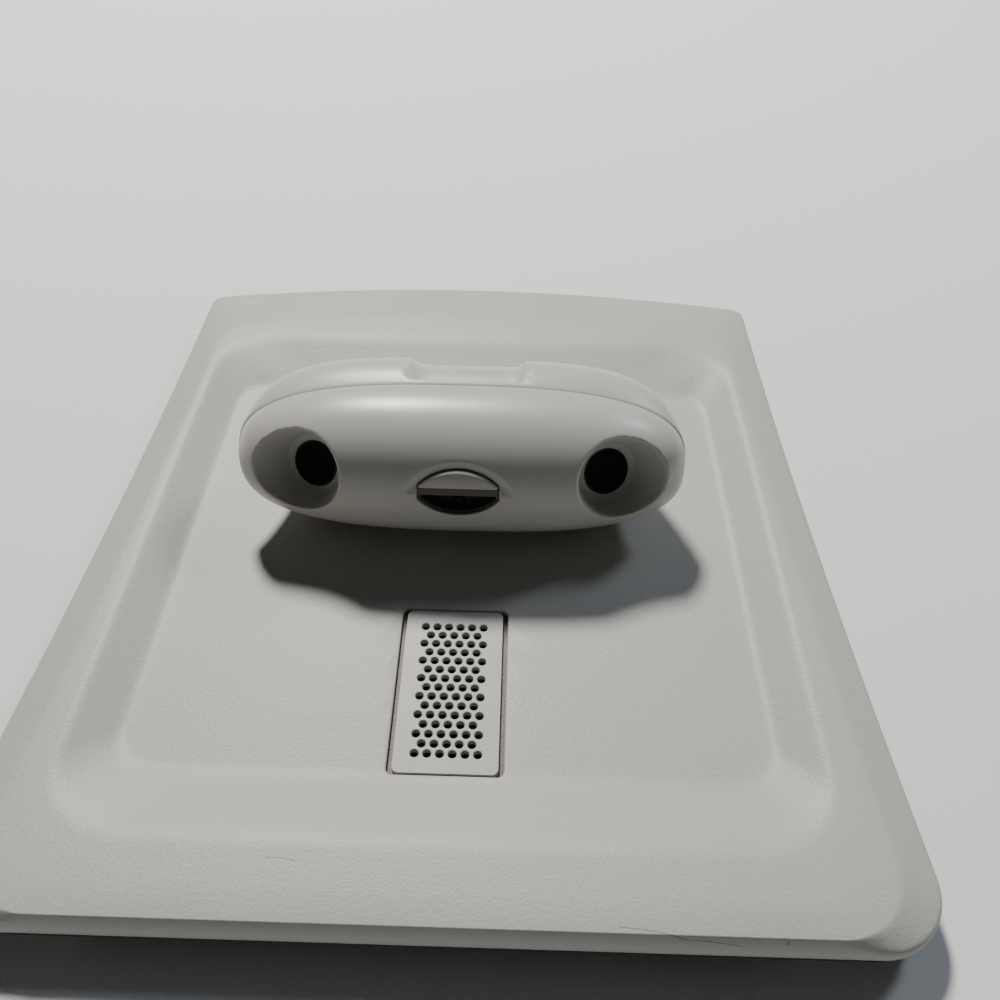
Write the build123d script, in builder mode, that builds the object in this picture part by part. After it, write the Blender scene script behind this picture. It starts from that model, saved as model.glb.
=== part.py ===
"""Overhead ultrasonic motion-sensor panel: a trim panel with a tray, a sensor pod and a microphone grille.

Millimetres. X is the panel's width, +Y runs from its wide edge to its narrow, bowed edge, and +Z
points out of the visible face. The origin is the centre of the plane that the rear bosses stand on.
"""

import os
from math import atan2, cos, hypot, pi, radians, sin, tan

from build123d import *

# ---------------------------------------------------------------- driving dimensions

# trim panel
panel_length = 225.0
far_half_width = 92.5
middle_half_width = 98.6
near_half_width = 109.0
far_bow = 8.0
far_corner_radius = 4.0
near_corner_radius = 15.0
panel_wall = 2.2
floor_thickness = 2.5

# heights above the plane of the rear bosses
floor_z = 9.0
tray_depth = 6.0
edge_drop = 3.0
skirt_height = 2.5

# how far the crest of the rim stands in from each edge
far_crest_inset = 21.0
side_crest_inset = 10.0
near_crest_inset = 2.0
crest_corner_radius = 14.0

# tray: the flat floor, and the outer edge of the slopes round it
tray_floor_far_y = 58.5
tray_floor_near_y = -72.5
tray_floor_far_half_width = 73.0
tray_floor_near_half_width = 76.5
tray_floor_corner_radius = 9.0
tray_mouth_far_y = 83.0
tray_mouth_near_y = -95.5
tray_mouth_far_half_width = 83.5
tray_mouth_near_half_width = 90.0
tray_mouth_corner_radius = 19.0

# foam seal under the edge
seal_thickness = 2.5
seal_width = 2.8
seal_inset = 0.5

# rear bosses and their brass inserts
boss_half_spacing_x = 78.0
boss_far_y = 96.5
boss_near_y = -102.5
boss_radius = 4.6
insert_radius = 2.8
insert_bore_radius = 1.65
insert_length = 6.0
boss_pilot_extra = 3.0
rib_thickness = 1.6
rib_depth = 2.0
rib_places = (-56.0, -20.0, 20.0, 56.0)
rib_end_gap = 12.0

# sensor pod: centre, tilt of its face from the horizontal, and its half sizes
pod_y = 7.3
pod_z = 31.2
pod_tilt = 28.0
pod_half_length = 60.5
pod_half_height = 20.3
pod_depth = 17.0
pod_roundness = 2.8
shell_wall = 2.0

# rear shell: a middle section and the foot that stands on the tray floor
waist_half_length = 54.0
waist_roundness = 3.6
waist_front_y = 0.5
waist_front_z = 11.5
waist_back_y = 35.0
waist_back_z = 42.0
foot_half_length = 46.0
foot_front_y = 4.5
foot_back_y = 41.5
foot_plate = 2.0
notch_x = 1.3
notch_half_width = 14.3
notch_depth = 1.4
notch_reach = 12.0
tongue_width = 9.0
tongue_reach = 5.0
tongue_thickness = 1.4
tongue_gap = 0.15

# wells and the transducers in them
well_x = 38.9
well_h = -1.2
well_d = 3.4
well_turn = 20.0
well_floor_radius = 8.1
well_flare = 23.0
well_wall = 1.6
can_radius = 6.4
can_length = 9.0
can_wall = 0.6
can_fit = 0.05
boot_wall = 1.4
boot_length = 5.0
mesh_thickness = 0.4
mesh_inset = 0.3
base_thickness = 2.0
piezo_radius = 4.6
piezo_thickness = 0.6
piezo_post_radius = 1.2
piezo_post_height = 1.2
cone_foot_radius = 1.6
cone_height = 2.6
cone_taper = 45.0
cone_floor = 0.4
pin_radius = 0.35
pin_half_spacing = 2.5

# lens-shaped aperture: push tab above, dark slot below
aperture_half_width = 10.6
aperture_top_h = 2.2
aperture_bottom_h = -11.0
aperture_upper_corner_h = -2.3
aperture_lower_corner_h = -6.1
bar_top_h = -3.2
bar_bottom_h = -5.3
tab_gap = 0.3
tab_travel = 1.0
tab_flange_thickness = 1.2
tab_flange_margin = 0.8
tab_flange_gap = 0.8
tab_stem_radius = 1.8
tab_stem_h = -0.7
liner_gap = 0.05
liner_wall = 0.8
liner_depth = 8.0
bar_recess = 1.2

# circuit board and what stands on it
board_d = -8.0
board_thickness = 1.6
board_half_length = 47.0
board_half_height = 12.0
board_post_x = 22.0
board_post_h = 6.0
board_post_radius = 2.6
board_hole_clearance = 0.2
board_screw_radius = 0.9
board_screw_bite = 5.0
board_screw_head_radius = 2.0
board_screw_head_height = 1.2
switch_size = 5.0
switch_height = 3.6
plunger_radius = 1.5
plunger_rise = 0.3
plunger_gap = 0.1
led_radius = 1.5
led_h = -7.9
led_flange = 0.4
led_flange_thickness = 0.8
led_dome = 0.9
led_lead_radius = 0.25
led_lead_half_spacing = 1.0

# electronics on the board: half spacing, sizes
coil_x = 10.0
coil_h = 5.2
coil_radius = 3.4
coil_height = 6.0
chip_length = 9.0
chip_width = 6.0
chip_height = 1.4
chip_x = -8.0
chip_h = -7.5
crystal_length = 8.0
crystal_width = 3.4
crystal_height = 2.6
crystal_x = 10.5
crystal_h = -8.5
small_parts = 10
small_part_length = 2.0
small_part_width = 1.2
small_part_height = 0.8
small_part_pitch = 4.0
small_part_h = 10.3

# connector in the pod's foot
header_y = 22.0
header_half_x = 11.0
header_half_y = 4.5
header_wall = 1.0
header_roof_z = 13.0
header_roof_thickness = 3.0
header_flange = 1.5
header_flange_thickness = 1.0
header_clearance = 0.15
pin_count = 6
pin_pitch = 3.0
pin_size = 0.64
pin_tip_z = 7.6
pin_bend_z = 22.0

# screws that hold the pod to the panel
pod_screw_x = 30.0
pod_screw_front_y = 13.0
pod_screw_back_y = 32.5
pod_screw_radius = 1.4
pod_screw_clearance = 0.15
pod_screw_head_radius = 2.8
pod_screw_head_height = 1.6
pod_screw_length = 8.0
pod_boss_radius = 3.5
pod_boss_height = 4.5

# microphone grille
grille_y = -50.5
grille_slot_half_x = 13.75
grille_slot_half_y = 23.7
grille_plate_half_x = 12.45
grille_plate_half_y = 23.2
grille_plate_thickness = 1.6
grille_corner_radius = 1.6
grille_window_margin = 2.2
hole_pitch = 3.0
hole_radius = 1.05
hole_rows = 15
hole_columns = 6
grille_edge_radius = 0.35
felt_thickness = 0.5
holder_wall = 1.4
holder_depth = 5.6
holder_post_y = 28.5
holder_ear_radius = 3.2
holder_ear_thickness = 2.0
holder_screw_radius = 0.9
holder_screw_clearance = 0.15
holder_screw_bite = 2.0
holder_screw_head_radius = 2.0
holder_screw_head_height = 1.2
microphone_radius = 4.85
microphone_height = 3.6
microphone_ring_wall = 1.2
microphone_pin_radius = 0.4
microphone_pin_half_spacing = 1.27
microphone_pin_tip_z = 0.2

# points round an oval section, a multiple of four
oval_steps = 24

os.makedirs("parts", exist_ok=True)


def save(builder, name):
    """Label a finished piece and write it as its own file."""
    builder.part.label = name
    export_step(builder.part, f"parts/{name}.step")


# ---------------------------------------------------------------- panel outlines

rim_z = floor_z + tray_depth
edge_z = rim_z - edge_drop
skirt_z = edge_z - skirt_height
floor_underside_z = floor_z - floor_thickness
far_y = panel_length / 2
near_y = -panel_length / 2


def side_half_width(y):
    """Half width of the panel at y, on the gentle curve of its flared sides."""
    far_end = far_y - far_bow
    t = (far_end - y) / (far_end - near_y)
    middle_rise = middle_half_width - (far_half_width + near_half_width) / 2
    return far_half_width + (near_half_width - far_half_width) * t + 4 * middle_rise * t * (1 - t)


def outline(far_inset, side_inset, near_inset, far_radius, near_radius):
    """Sketch the panel's outline, drawn in by an inset on each edge."""
    top = far_y - far_bow - far_inset
    bottom = near_y + near_inset
    corners = [(side_half_width(y) - side_inset, y) for y in (top, (top + bottom) / 2, bottom)]
    left = [(-x, y) for x, y in corners]
    with BuildSketch(Plane.XY) as sketch:
        with BuildLine():
            ThreePointArc(left[0], (0, far_y - far_inset), corners[0])
            ThreePointArc(*corners)
            Line(corners[2], left[2])
            ThreePointArc(*reversed(left))
        make_face()
        fillet(sketch.vertices().group_by(Axis.Y)[-1], far_radius)
        fillet(sketch.vertices().group_by(Axis.Y)[0], near_radius)
    return sketch.sketch


def tray_outline(far_edge, near_edge, far_half, near_half, radius):
    """Sketch a rounded outline of the tray, a little wider at its near edge."""
    with BuildSketch(Plane.XY) as sketch:
        with BuildLine():
            far_corners = [(-far_half, far_edge), (far_half, far_edge)]
            near_corners = [(near_half, near_edge), (-near_half, near_edge)]
            Polyline(*far_corners, *near_corners, close=True)
        make_face()
        fillet(sketch.vertices(), radius)
    return sketch.sketch


edge_outline = outline(0, 0, 0, far_corner_radius, near_corner_radius)
crest_outline = outline(
    far_crest_inset,
    side_crest_inset,
    near_crest_inset,
    crest_corner_radius,
    crest_corner_radius,
)
inner_outline = outline(
    panel_wall,
    panel_wall,
    panel_wall,
    far_corner_radius,
    near_corner_radius - panel_wall,
)
floor_outline = tray_outline(
    tray_floor_far_y,
    tray_floor_near_y,
    tray_floor_far_half_width,
    tray_floor_near_half_width,
    tray_floor_corner_radius,
)
mouth_outline = tray_outline(
    tray_mouth_far_y,
    tray_mouth_near_y,
    tray_mouth_far_half_width,
    tray_mouth_near_half_width,
    tray_mouth_corner_radius,
)

boss_xs = (-boss_half_spacing_x, boss_half_spacing_x)
boss_points = [(x, y) for x in boss_xs for y in (boss_near_y, boss_far_y)]


# ---------------------------------------------------------------- trim panel


def falling_block(bottom_z, side_top_z, top_z, side_outline):
    """A block with upright sides whose top rises from the side outline to the crest outline."""
    with BuildPart() as block:
        with BuildSketch(Plane.XY.offset(bottom_z)):
            add(side_outline)
        extrude(amount=side_top_z - bottom_z)
    with BuildPart() as top:
        with BuildSketch(Plane.XY.offset(side_top_z)):
            add(side_outline)
        with BuildSketch(Plane.XY.offset(top_z)):
            add(crest_outline)
        loft()
    return block.part + top.part


def bowl(drop):
    """The solid that fills the tray, lowered by a wall for its outer side."""
    with BuildPart() as solid:
        with BuildSketch(Plane.XY.offset(floor_z - drop)):
            add(floor_outline)
        with BuildSketch(Plane.XY.offset(rim_z - drop)):
            add(mouth_outline)
        loft()
    return solid.part


pod_screw_ys = (pod_screw_front_y, pod_screw_back_y)
pod_screw_points = [(x, y) for x in (-pod_screw_x, pod_screw_x) for y in pod_screw_ys]
holder_screw_points = [(0, grille_y - holder_post_y), (0, grille_y + holder_post_y)]
ledge_z = floor_z - grille_plate_thickness
window_half_x = grille_plate_half_x - grille_window_margin
window_half_y = grille_plate_half_y - grille_window_margin

with BuildPart() as trim_panel:
    add(falling_block(skirt_z, edge_z, rim_z, edge_outline))
    add(falling_block(skirt_z, edge_z - panel_wall, rim_z - panel_wall, inner_outline), mode=Mode.SUBTRACT)
    # the bowl of the tray, and the collar that joins it to the rim
    add(bowl(floor_thickness))
    with BuildSketch(Plane.XY.offset(rim_z - floor_thickness)):
        add(mouth_outline)
    extrude(amount=floor_thickness)
    add(bowl(0), mode=Mode.SUBTRACT)
    # rear bosses, reaching up into the rim
    with BuildSketch(Plane.XY):
        with Locations(*boss_points):
            Circle(boss_radius)
    extrude(amount=rim_z - panel_wall)
    with BuildSketch(Plane.XY):
        with Locations(*boss_points):
            Circle(insert_radius)
    extrude(amount=insert_length, mode=Mode.SUBTRACT)
    with BuildSketch(Plane.XY.offset(insert_length)):
        with Locations(*boss_points):
            Circle(insert_bore_radius)
    extrude(amount=boss_pilot_extra, mode=Mode.SUBTRACT)
    # stiffening ribs under the floor
    with BuildSketch(Plane.XY.offset(floor_underside_z - rib_depth)):
        with Locations(*[(x, (tray_floor_far_y + tray_floor_near_y) / 2) for x in rib_places]):
            Rectangle(rib_thickness, tray_floor_far_y - tray_floor_near_y - rib_end_gap)
    extrude(amount=rib_depth)
    # slot for the grille plate, with a ledge round its window
    with BuildSketch(Plane.XY.offset(ledge_z)):
        with Locations((0, grille_y)):
            RectangleRounded(2 * grille_slot_half_x, 2 * grille_slot_half_y, grille_corner_radius)
    extrude(amount=grille_plate_thickness, mode=Mode.SUBTRACT)
    with BuildSketch(Plane.XY.offset(floor_underside_z)):
        with Locations((0, grille_y)):
            Rectangle(2 * window_half_x, 2 * window_half_y)
    extrude(amount=floor_thickness, mode=Mode.SUBTRACT)
    # ways through the floor for the pod's screws and its connector
    with BuildSketch(Plane.XY.offset(floor_underside_z)):
        with Locations(*pod_screw_points):
            Circle(pod_screw_radius + pod_screw_clearance)
        with Locations((0, header_y)):
            Rectangle(2 * (header_half_x + header_clearance), 2 * (header_half_y + header_clearance))
    extrude(amount=floor_thickness, mode=Mode.SUBTRACT)
    # blind pilots for the microphone holder's screws
    with BuildSketch(Plane.XY.offset(floor_underside_z)):
        with Locations(*holder_screw_points):
            Circle(holder_screw_radius)
    extrude(amount=holder_screw_bite, mode=Mode.SUBTRACT)
save(trim_panel, "trim_panel")

with BuildPart() as edge_seal:
    with BuildSketch(Plane.XY.offset(skirt_z - seal_thickness)):
        add(outline(seal_inset, seal_inset, seal_inset, far_corner_radius, near_corner_radius))
        seal_inner = seal_inset + seal_width
        add(
            outline(seal_inner, seal_inner, seal_inner, far_corner_radius, near_corner_radius - seal_width),
            mode=Mode.SUBTRACT,
        )
    extrude(amount=seal_thickness)
save(edge_seal, "edge_seal")

with BuildPart() as threaded_inserts:
    with BuildSketch(Plane.XY):
        with Locations(*boss_points):
            Circle(insert_radius)
            Circle(insert_bore_radius, mode=Mode.SUBTRACT)
    extrude(amount=insert_length)
save(threaded_inserts, "threaded_inserts")


# ---------------------------------------------------------------- sensor pod: frames and forms

tilt = radians(pod_tilt)
pod_plane = Plane(origin=(0, pod_y, pod_z), x_dir=(1, 0, 0), z_dir=(0, -cos(tilt), sin(tilt)))


def oval_points(half_x, half_y, roundness, steps):
    """Points round a superellipse, which is fuller than an ellipse towards its corners."""
    points = []
    for step in range(steps):
        angle = 2 * pi * step / steps
        x = half_x * abs(cos(angle)) ** (2 / roundness) * (1 if cos(angle) >= 0 else -1)
        y = half_y * abs(sin(angle)) ** (2 / roundness) * (1 if sin(angle) >= 0 else -1)
        points.append((x, y))
    return points


def oval(plane, half_x, half_y, roundness):
    """A superellipse face on a plane."""
    with BuildSketch(plane) as sketch:
        with BuildLine():
            Spline(*oval_points(half_x, half_y, roundness, oval_steps), periodic=True)
        make_face()
    return sketch.sketch


# the pod's front is part of a round form whose axis lies behind the seam
egg_radius = (pod_half_height**2 + pod_depth**2) / (2 * pod_depth)


def egg(inset):
    """The pod's outer form, or the same form drawn in by an inset: a fat cigar turned about its own axis."""
    half_length = pod_half_length - inset
    with BuildPart() as solid:
        with BuildSketch(Plane.XY):
            with BuildLine():
                whole = oval_points(half_length, egg_radius - inset, pod_roundness, oval_steps)
                quarter = whole[: oval_steps // 4 + 1]
                Spline(*quarter, tangents=[(0, 1), (-1, 0)])
                Polyline(quarter[-1], (0, 0), quarter[0])
            make_face()
        revolve(axis=Axis.X)
        mirror(about=Plane.YZ)
    return pod_plane.offset(pod_depth - egg_radius).location * solid.part


def rear_block(inset, base_z):
    """The rear shell's outer form, or the same form drawn in by an inset, from the pod's face to base_z."""
    waist_length = hypot(waist_back_y - waist_front_y, waist_back_z - waist_front_z)
    waist_tilt = atan2(waist_back_z - waist_front_z, waist_back_y - waist_front_y)
    waist_middle = (0, (waist_front_y + waist_back_y) / 2, (waist_front_z + waist_back_z) / 2)
    waist_plane = Plane(origin=waist_middle, x_dir=(1, 0, 0), z_dir=(0, -sin(waist_tilt), cos(waist_tilt)))
    foot_plane = Plane.XY.offset(base_z).shift_origin((0, (foot_front_y + foot_back_y) / 2, base_z))
    foot_half_depth = (foot_back_y - foot_front_y) / 2
    with BuildPart() as solid:
        add(oval(pod_plane, pod_half_length - inset, pod_half_height - inset, pod_roundness))
        add(oval(waist_plane, waist_half_length - inset, waist_length / 2 - inset, waist_roundness))
        add(oval(foot_plane, foot_half_length - inset, foot_half_depth - inset, pod_roundness))
        loft()
    return solid.part


def well_plane(side, depth):
    """The plane square to a well's axis, at a depth out from the transducer's face."""
    turn = radians(well_turn)
    face = pod_plane.from_local_coords((side * well_x, well_h, well_d))
    out = pod_plane.x_dir * (side * sin(turn)) + pod_plane.z_dir * cos(turn)
    across = pod_plane.x_dir * cos(turn) - pod_plane.z_dir * (side * sin(turn))
    return Plane(origin=face + out * depth, x_dir=across, z_dir=out)


def aperture(grow, bottom_h, top_h):
    """The eye-shaped aperture, grown by an amount and kept between two heights on the pod's face."""
    half_width = aperture_half_width + grow
    upper = [(-half_width, aperture_upper_corner_h), (half_width, aperture_upper_corner_h)]
    lower = [(half_width, aperture_lower_corner_h), (-half_width, aperture_lower_corner_h)]
    with BuildSketch(pod_plane) as sketch:
        with BuildLine():
            ThreePointArc(upper[0], (0, aperture_top_h + grow), upper[1])
            Line(upper[1], lower[0])
            ThreePointArc(lower[0], (0, aperture_bottom_h - grow), lower[1])
            Line(lower[1], upper[0])
        make_face()
        with Locations((0, (bottom_h + top_h) / 2)):
            Rectangle(4 * half_width, top_h - bottom_h, mode=Mode.INTERSECT)
    return sketch.sketch


def prism(face):
    """A face on the pod's plane, carried out past the front of the pod."""
    return extrude(face, amount=2 * pod_depth, dir=pod_plane.z_dir)


well_reach = pod_depth
flare = radians(well_flare)
well_outer_radius = well_floor_radius + well_wall / cos(flare) - well_wall * tan(flare)
tube_inner_radius = can_radius + boot_wall
boot_top = -well_wall
boot_bottom = boot_top - boot_length
post_points = [(-board_post_x, board_post_h), (board_post_x, board_post_h)]
aperture_prism = prism(aperture(0, aperture_bottom_h, aperture_top_h))
tab_prism = prism(aperture(-tab_gap, bar_top_h, aperture_top_h))
liner_prism = prism(aperture(-liner_gap, aperture_bottom_h, bar_top_h - tab_gap))
slot_prism = prism(aperture(-liner_gap - liner_wall, aperture_bottom_h, bar_bottom_h))
sides = {"left": -1, "right": 1}


# ---------------------------------------------------------------- pod shells

outer_egg = egg(0)
front_egg = split(outer_egg, bisect_by=pod_plane, keep=Keep.TOP)

# the room inside, round the wells and the posts that the board is screwed to
with BuildPart() as pod_room:
    add(egg(shell_wall))
    for side in sides.values():
        with BuildSketch(well_plane(side, boot_top)):
            Circle(well_outer_radius)
        extrude(amount=well_reach, taper=-well_flare, mode=Mode.SUBTRACT)
    with BuildSketch(pod_plane.offset(-pod_depth)):
        with Locations(*post_points):
            Circle(board_post_radius)
    extrude(amount=2 * pod_depth, mode=Mode.SUBTRACT)

with BuildPart() as pod_front_shell:
    add(front_egg)
    add(pod_room.part, mode=Mode.SUBTRACT)
    # the posts go on behind the seam, as far as the board
    with BuildSketch(pod_plane.offset(board_d)):
        with Locations(*post_points):
            Circle(board_post_radius)
    extrude(amount=-board_d)
    # tubes that hold the transducers' boots
    for side in sides.values():
        with BuildSketch(well_plane(side, boot_bottom)):
            Circle(well_outer_radius)
        extrude(amount=boot_length)
    # snap tongues that enter the rear shell
    tongue_h = pod_half_height - shell_wall - tongue_gap - tongue_thickness / 2
    with BuildSketch(pod_plane.offset(-tongue_reach)):
        with GridLocations(2 * tongue_width, 2 * tongue_h, 2, 2):
            Rectangle(tongue_width, tongue_thickness)
    extrude(amount=2 * tongue_reach)
    # the wells, and the bores for the boots and the cans
    for side in sides.values():
        with BuildSketch(well_plane(side, 0)):
            Circle(well_floor_radius)
        extrude(amount=2 * well_reach, taper=-well_flare, mode=Mode.SUBTRACT)
        with BuildSketch(well_plane(side, 2 * boot_bottom)):
            Circle(tube_inner_radius)
        extrude(amount=boot_top - 2 * boot_bottom, mode=Mode.SUBTRACT)
        with BuildSketch(well_plane(side, boot_top)):
            Circle(can_radius + can_fit)
        extrude(amount=2 * well_wall, mode=Mode.SUBTRACT)
    # pilots for the board's screws
    with BuildSketch(pod_plane.offset(board_d)):
        with Locations(*post_points):
            Circle(board_screw_radius)
    extrude(amount=board_screw_bite, mode=Mode.SUBTRACT)
    # the aperture
    add(aperture_prism, mode=Mode.SUBTRACT)
save(pod_front_shell, "pod_front_shell")

rear_form = rear_block(0, floor_z)
notch_z = pod_z + pod_half_height

with BuildPart() as notch:
    add(rear_form)
    add(rear_block(notch_depth, floor_z - foot_plate), mode=Mode.SUBTRACT)
    with BuildSketch(Plane.XY.offset(notch_z - notch_reach)):
        with Locations((notch_x, waist_back_y)):
            Rectangle(2 * notch_half_width, 2 * notch_reach)
    extrude(amount=2 * notch_reach, mode=Mode.INTERSECT)

foot_top_z = floor_z + foot_plate

with BuildPart() as pod_rear_shell:
    add(rear_form)
    add(rear_block(shell_wall, foot_top_z), mode=Mode.SUBTRACT)
    add(notch.part, mode=Mode.SUBTRACT)
    with BuildSketch(Plane.XY.offset(foot_top_z)):
        with Locations(*pod_screw_points):
            Circle(pod_boss_radius)
    extrude(amount=pod_boss_height)
    with BuildSketch(Plane.XY.offset(floor_z)):
        with Locations(*pod_screw_points):
            Circle(pod_screw_radius)
    extrude(amount=pod_screw_length - floor_thickness, mode=Mode.SUBTRACT)
    with BuildSketch(Plane.XY.offset(floor_z)):
        with Locations((0, header_y)):
            Rectangle(2 * (header_half_x + header_clearance), 2 * (header_half_y + header_clearance))
    extrude(amount=foot_plate, mode=Mode.SUBTRACT)
save(pod_rear_shell, "pod_rear_shell")

with BuildPart() as pod_screws:
    with BuildSketch(Plane.XY.offset(floor_underside_z - pod_screw_head_height)):
        with Locations(*pod_screw_points):
            Circle(pod_screw_head_radius)
    extrude(amount=pod_screw_head_height)
    with BuildSketch(Plane.XY.offset(floor_underside_z)):
        with Locations(*pod_screw_points):
            Circle(pod_screw_radius)
    extrude(amount=pod_screw_length)
save(pod_screws, "pod_screws")


# ---------------------------------------------------------------- push tab, slot and switch

switch_top_d = board_d + switch_height
stem_bottom_d = switch_top_d + tab_travel + plunger_rise
plunger_bottom_d = switch_top_d - tab_travel - plunger_rise
flange_top_d = pod_depth - shell_wall - tab_flange_gap

with BuildPart() as tab_face:
    add(tab_prism)
    add(outer_egg, mode=Mode.INTERSECT)
    with BuildSketch(pod_plane):
        Rectangle(4 * aperture_half_width, 4 * aperture_half_width)
    extrude(amount=flange_top_d - tab_flange_thickness, mode=Mode.SUBTRACT)

with BuildPart() as push_tab:
    add(tab_face.part)
    # the flange behind the shell stops the tab from falling out
    flange_plane = pod_plane.offset(flange_top_d - tab_flange_thickness)
    with BuildSketch(flange_plane):
        with BuildLine():
            flange_half = aperture_half_width + tab_flange_margin
            flange_peak = (0, aperture_top_h + tab_flange_margin)
            ThreePointArc((-flange_half, bar_top_h), flange_peak, (flange_half, bar_top_h))
            Line((flange_half, bar_top_h), (-flange_half, bar_top_h))
        make_face()
    extrude(amount=tab_flange_thickness)
    with BuildSketch(pod_plane.offset(stem_bottom_d)):
        with Locations((0, tab_stem_h)):
            Circle(tab_stem_radius)
    extrude(amount=flange_top_d - stem_bottom_d)
save(push_tab, "push_tab")

with BuildPart() as switch_plunger:
    with BuildSketch(pod_plane.offset(plunger_bottom_d)):
        with Locations((0, tab_stem_h)):
            Circle(plunger_radius)
    extrude(amount=stem_bottom_d - plunger_bottom_d)
save(switch_plunger, "switch_plunger")

with BuildPart() as tab_switch:
    with BuildSketch(pod_plane.offset(board_d)):
        with Locations((0, tab_stem_h)):
            Rectangle(switch_size, switch_size)
    extrude(amount=switch_height)
    bore_depth = 2 * (tab_travel + plunger_rise)
    with BuildSketch(pod_plane.offset(switch_top_d - bore_depth)):
        with Locations((0, tab_stem_h)):
            Circle(plunger_radius + plunger_gap)
    extrude(amount=bore_depth, mode=Mode.SUBTRACT)
save(tab_switch, "tab_switch")

liner_floor_d = pod_depth - liner_depth

with BuildPart() as slot_liner:
    add(liner_prism)
    add(egg(bar_recess), mode=Mode.INTERSECT)
    with BuildSketch(pod_plane):
        Rectangle(4 * aperture_half_width, 4 * aperture_half_width)
    extrude(amount=liner_floor_d, mode=Mode.SUBTRACT)
    add(slot_prism.moved(Location(pod_plane.z_dir * (liner_floor_d + liner_wall))), mode=Mode.SUBTRACT)
    with BuildSketch(pod_plane.offset(liner_floor_d)):
        with Locations((0, led_h)):
            Circle(led_radius)
    extrude(amount=liner_wall, mode=Mode.SUBTRACT)
save(slot_liner, "slot_liner")

with BuildPart() as status_led:
    with BuildSketch(pod_plane.offset(liner_floor_d - led_flange_thickness)):
        with Locations((0, led_h)):
            Circle(led_radius + led_flange)
    extrude(amount=led_flange_thickness)
    with BuildSketch(pod_plane.offset(liner_floor_d)):
        with Locations((0, led_h)):
            Circle(led_radius)
    extrude(amount=liner_wall + led_radius)
    fillet(status_led.edges().sort_by(Axis(pod_plane.origin, pod_plane.z_dir))[-1], led_dome)
save(status_led, "status_led")

with BuildPart() as led_leads:
    with BuildSketch(pod_plane.offset(board_d)):
        with Locations((0, led_h)):
            with GridLocations(2 * led_lead_half_spacing, 0, 2, 1):
                Circle(led_lead_radius)
    extrude(amount=liner_floor_d - led_flange_thickness - board_d)
save(led_leads, "led_leads")


# ---------------------------------------------------------------- circuit board

board_back = pod_plane.offset(board_d - board_thickness)
with BuildPart() as sensor_board:
    add(oval(board_back, board_half_length, board_half_height, pod_roundness))
    extrude(amount=board_thickness)
    with BuildSketch(board_back):
        with Locations(*post_points):
            Circle(board_screw_radius + board_hole_clearance)
    extrude(amount=board_thickness, mode=Mode.SUBTRACT)
save(sensor_board, "sensor_board")

with BuildPart() as board_screws:
    with BuildSketch(board_back):
        with Locations(*post_points):
            Circle(board_screw_radius)
    extrude(amount=board_thickness + board_screw_bite)
    with BuildSketch(pod_plane.offset(board_d - board_thickness - board_screw_head_height)):
        with Locations(*post_points):
            Circle(board_screw_head_radius)
    extrude(amount=board_screw_head_height)
save(board_screws, "board_screws")

with BuildPart() as driver_coils:
    with BuildSketch(pod_plane.offset(board_d)):
        with Locations((-coil_x, coil_h), (coil_x, coil_h)):
            Circle(coil_radius)
    extrude(amount=coil_height)
save(driver_coils, "driver_coils")

with BuildPart() as controller_chip:
    with BuildSketch(pod_plane.offset(board_d)):
        with Locations((chip_x, chip_h)):
            Rectangle(chip_length, chip_width)
    extrude(amount=chip_height)
save(controller_chip, "controller_chip")

with BuildPart() as crystal:
    with BuildSketch(pod_plane.offset(board_d)):
        with Locations((crystal_x, crystal_h)):
            SlotOverall(crystal_length, crystal_width)
    extrude(amount=crystal_height)
save(crystal, "crystal")

with BuildPart() as board_components:
    with BuildSketch(pod_plane.offset(board_d)):
        with Locations((0, small_part_h)):
            with GridLocations(small_part_pitch, 0, small_parts, 1):
                Rectangle(small_part_width, small_part_length)
    extrude(amount=small_part_height)
save(board_components, "board_components")


# ---------------------------------------------------------------- transducers

board_front = pod_plane.offset(board_d)

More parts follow.
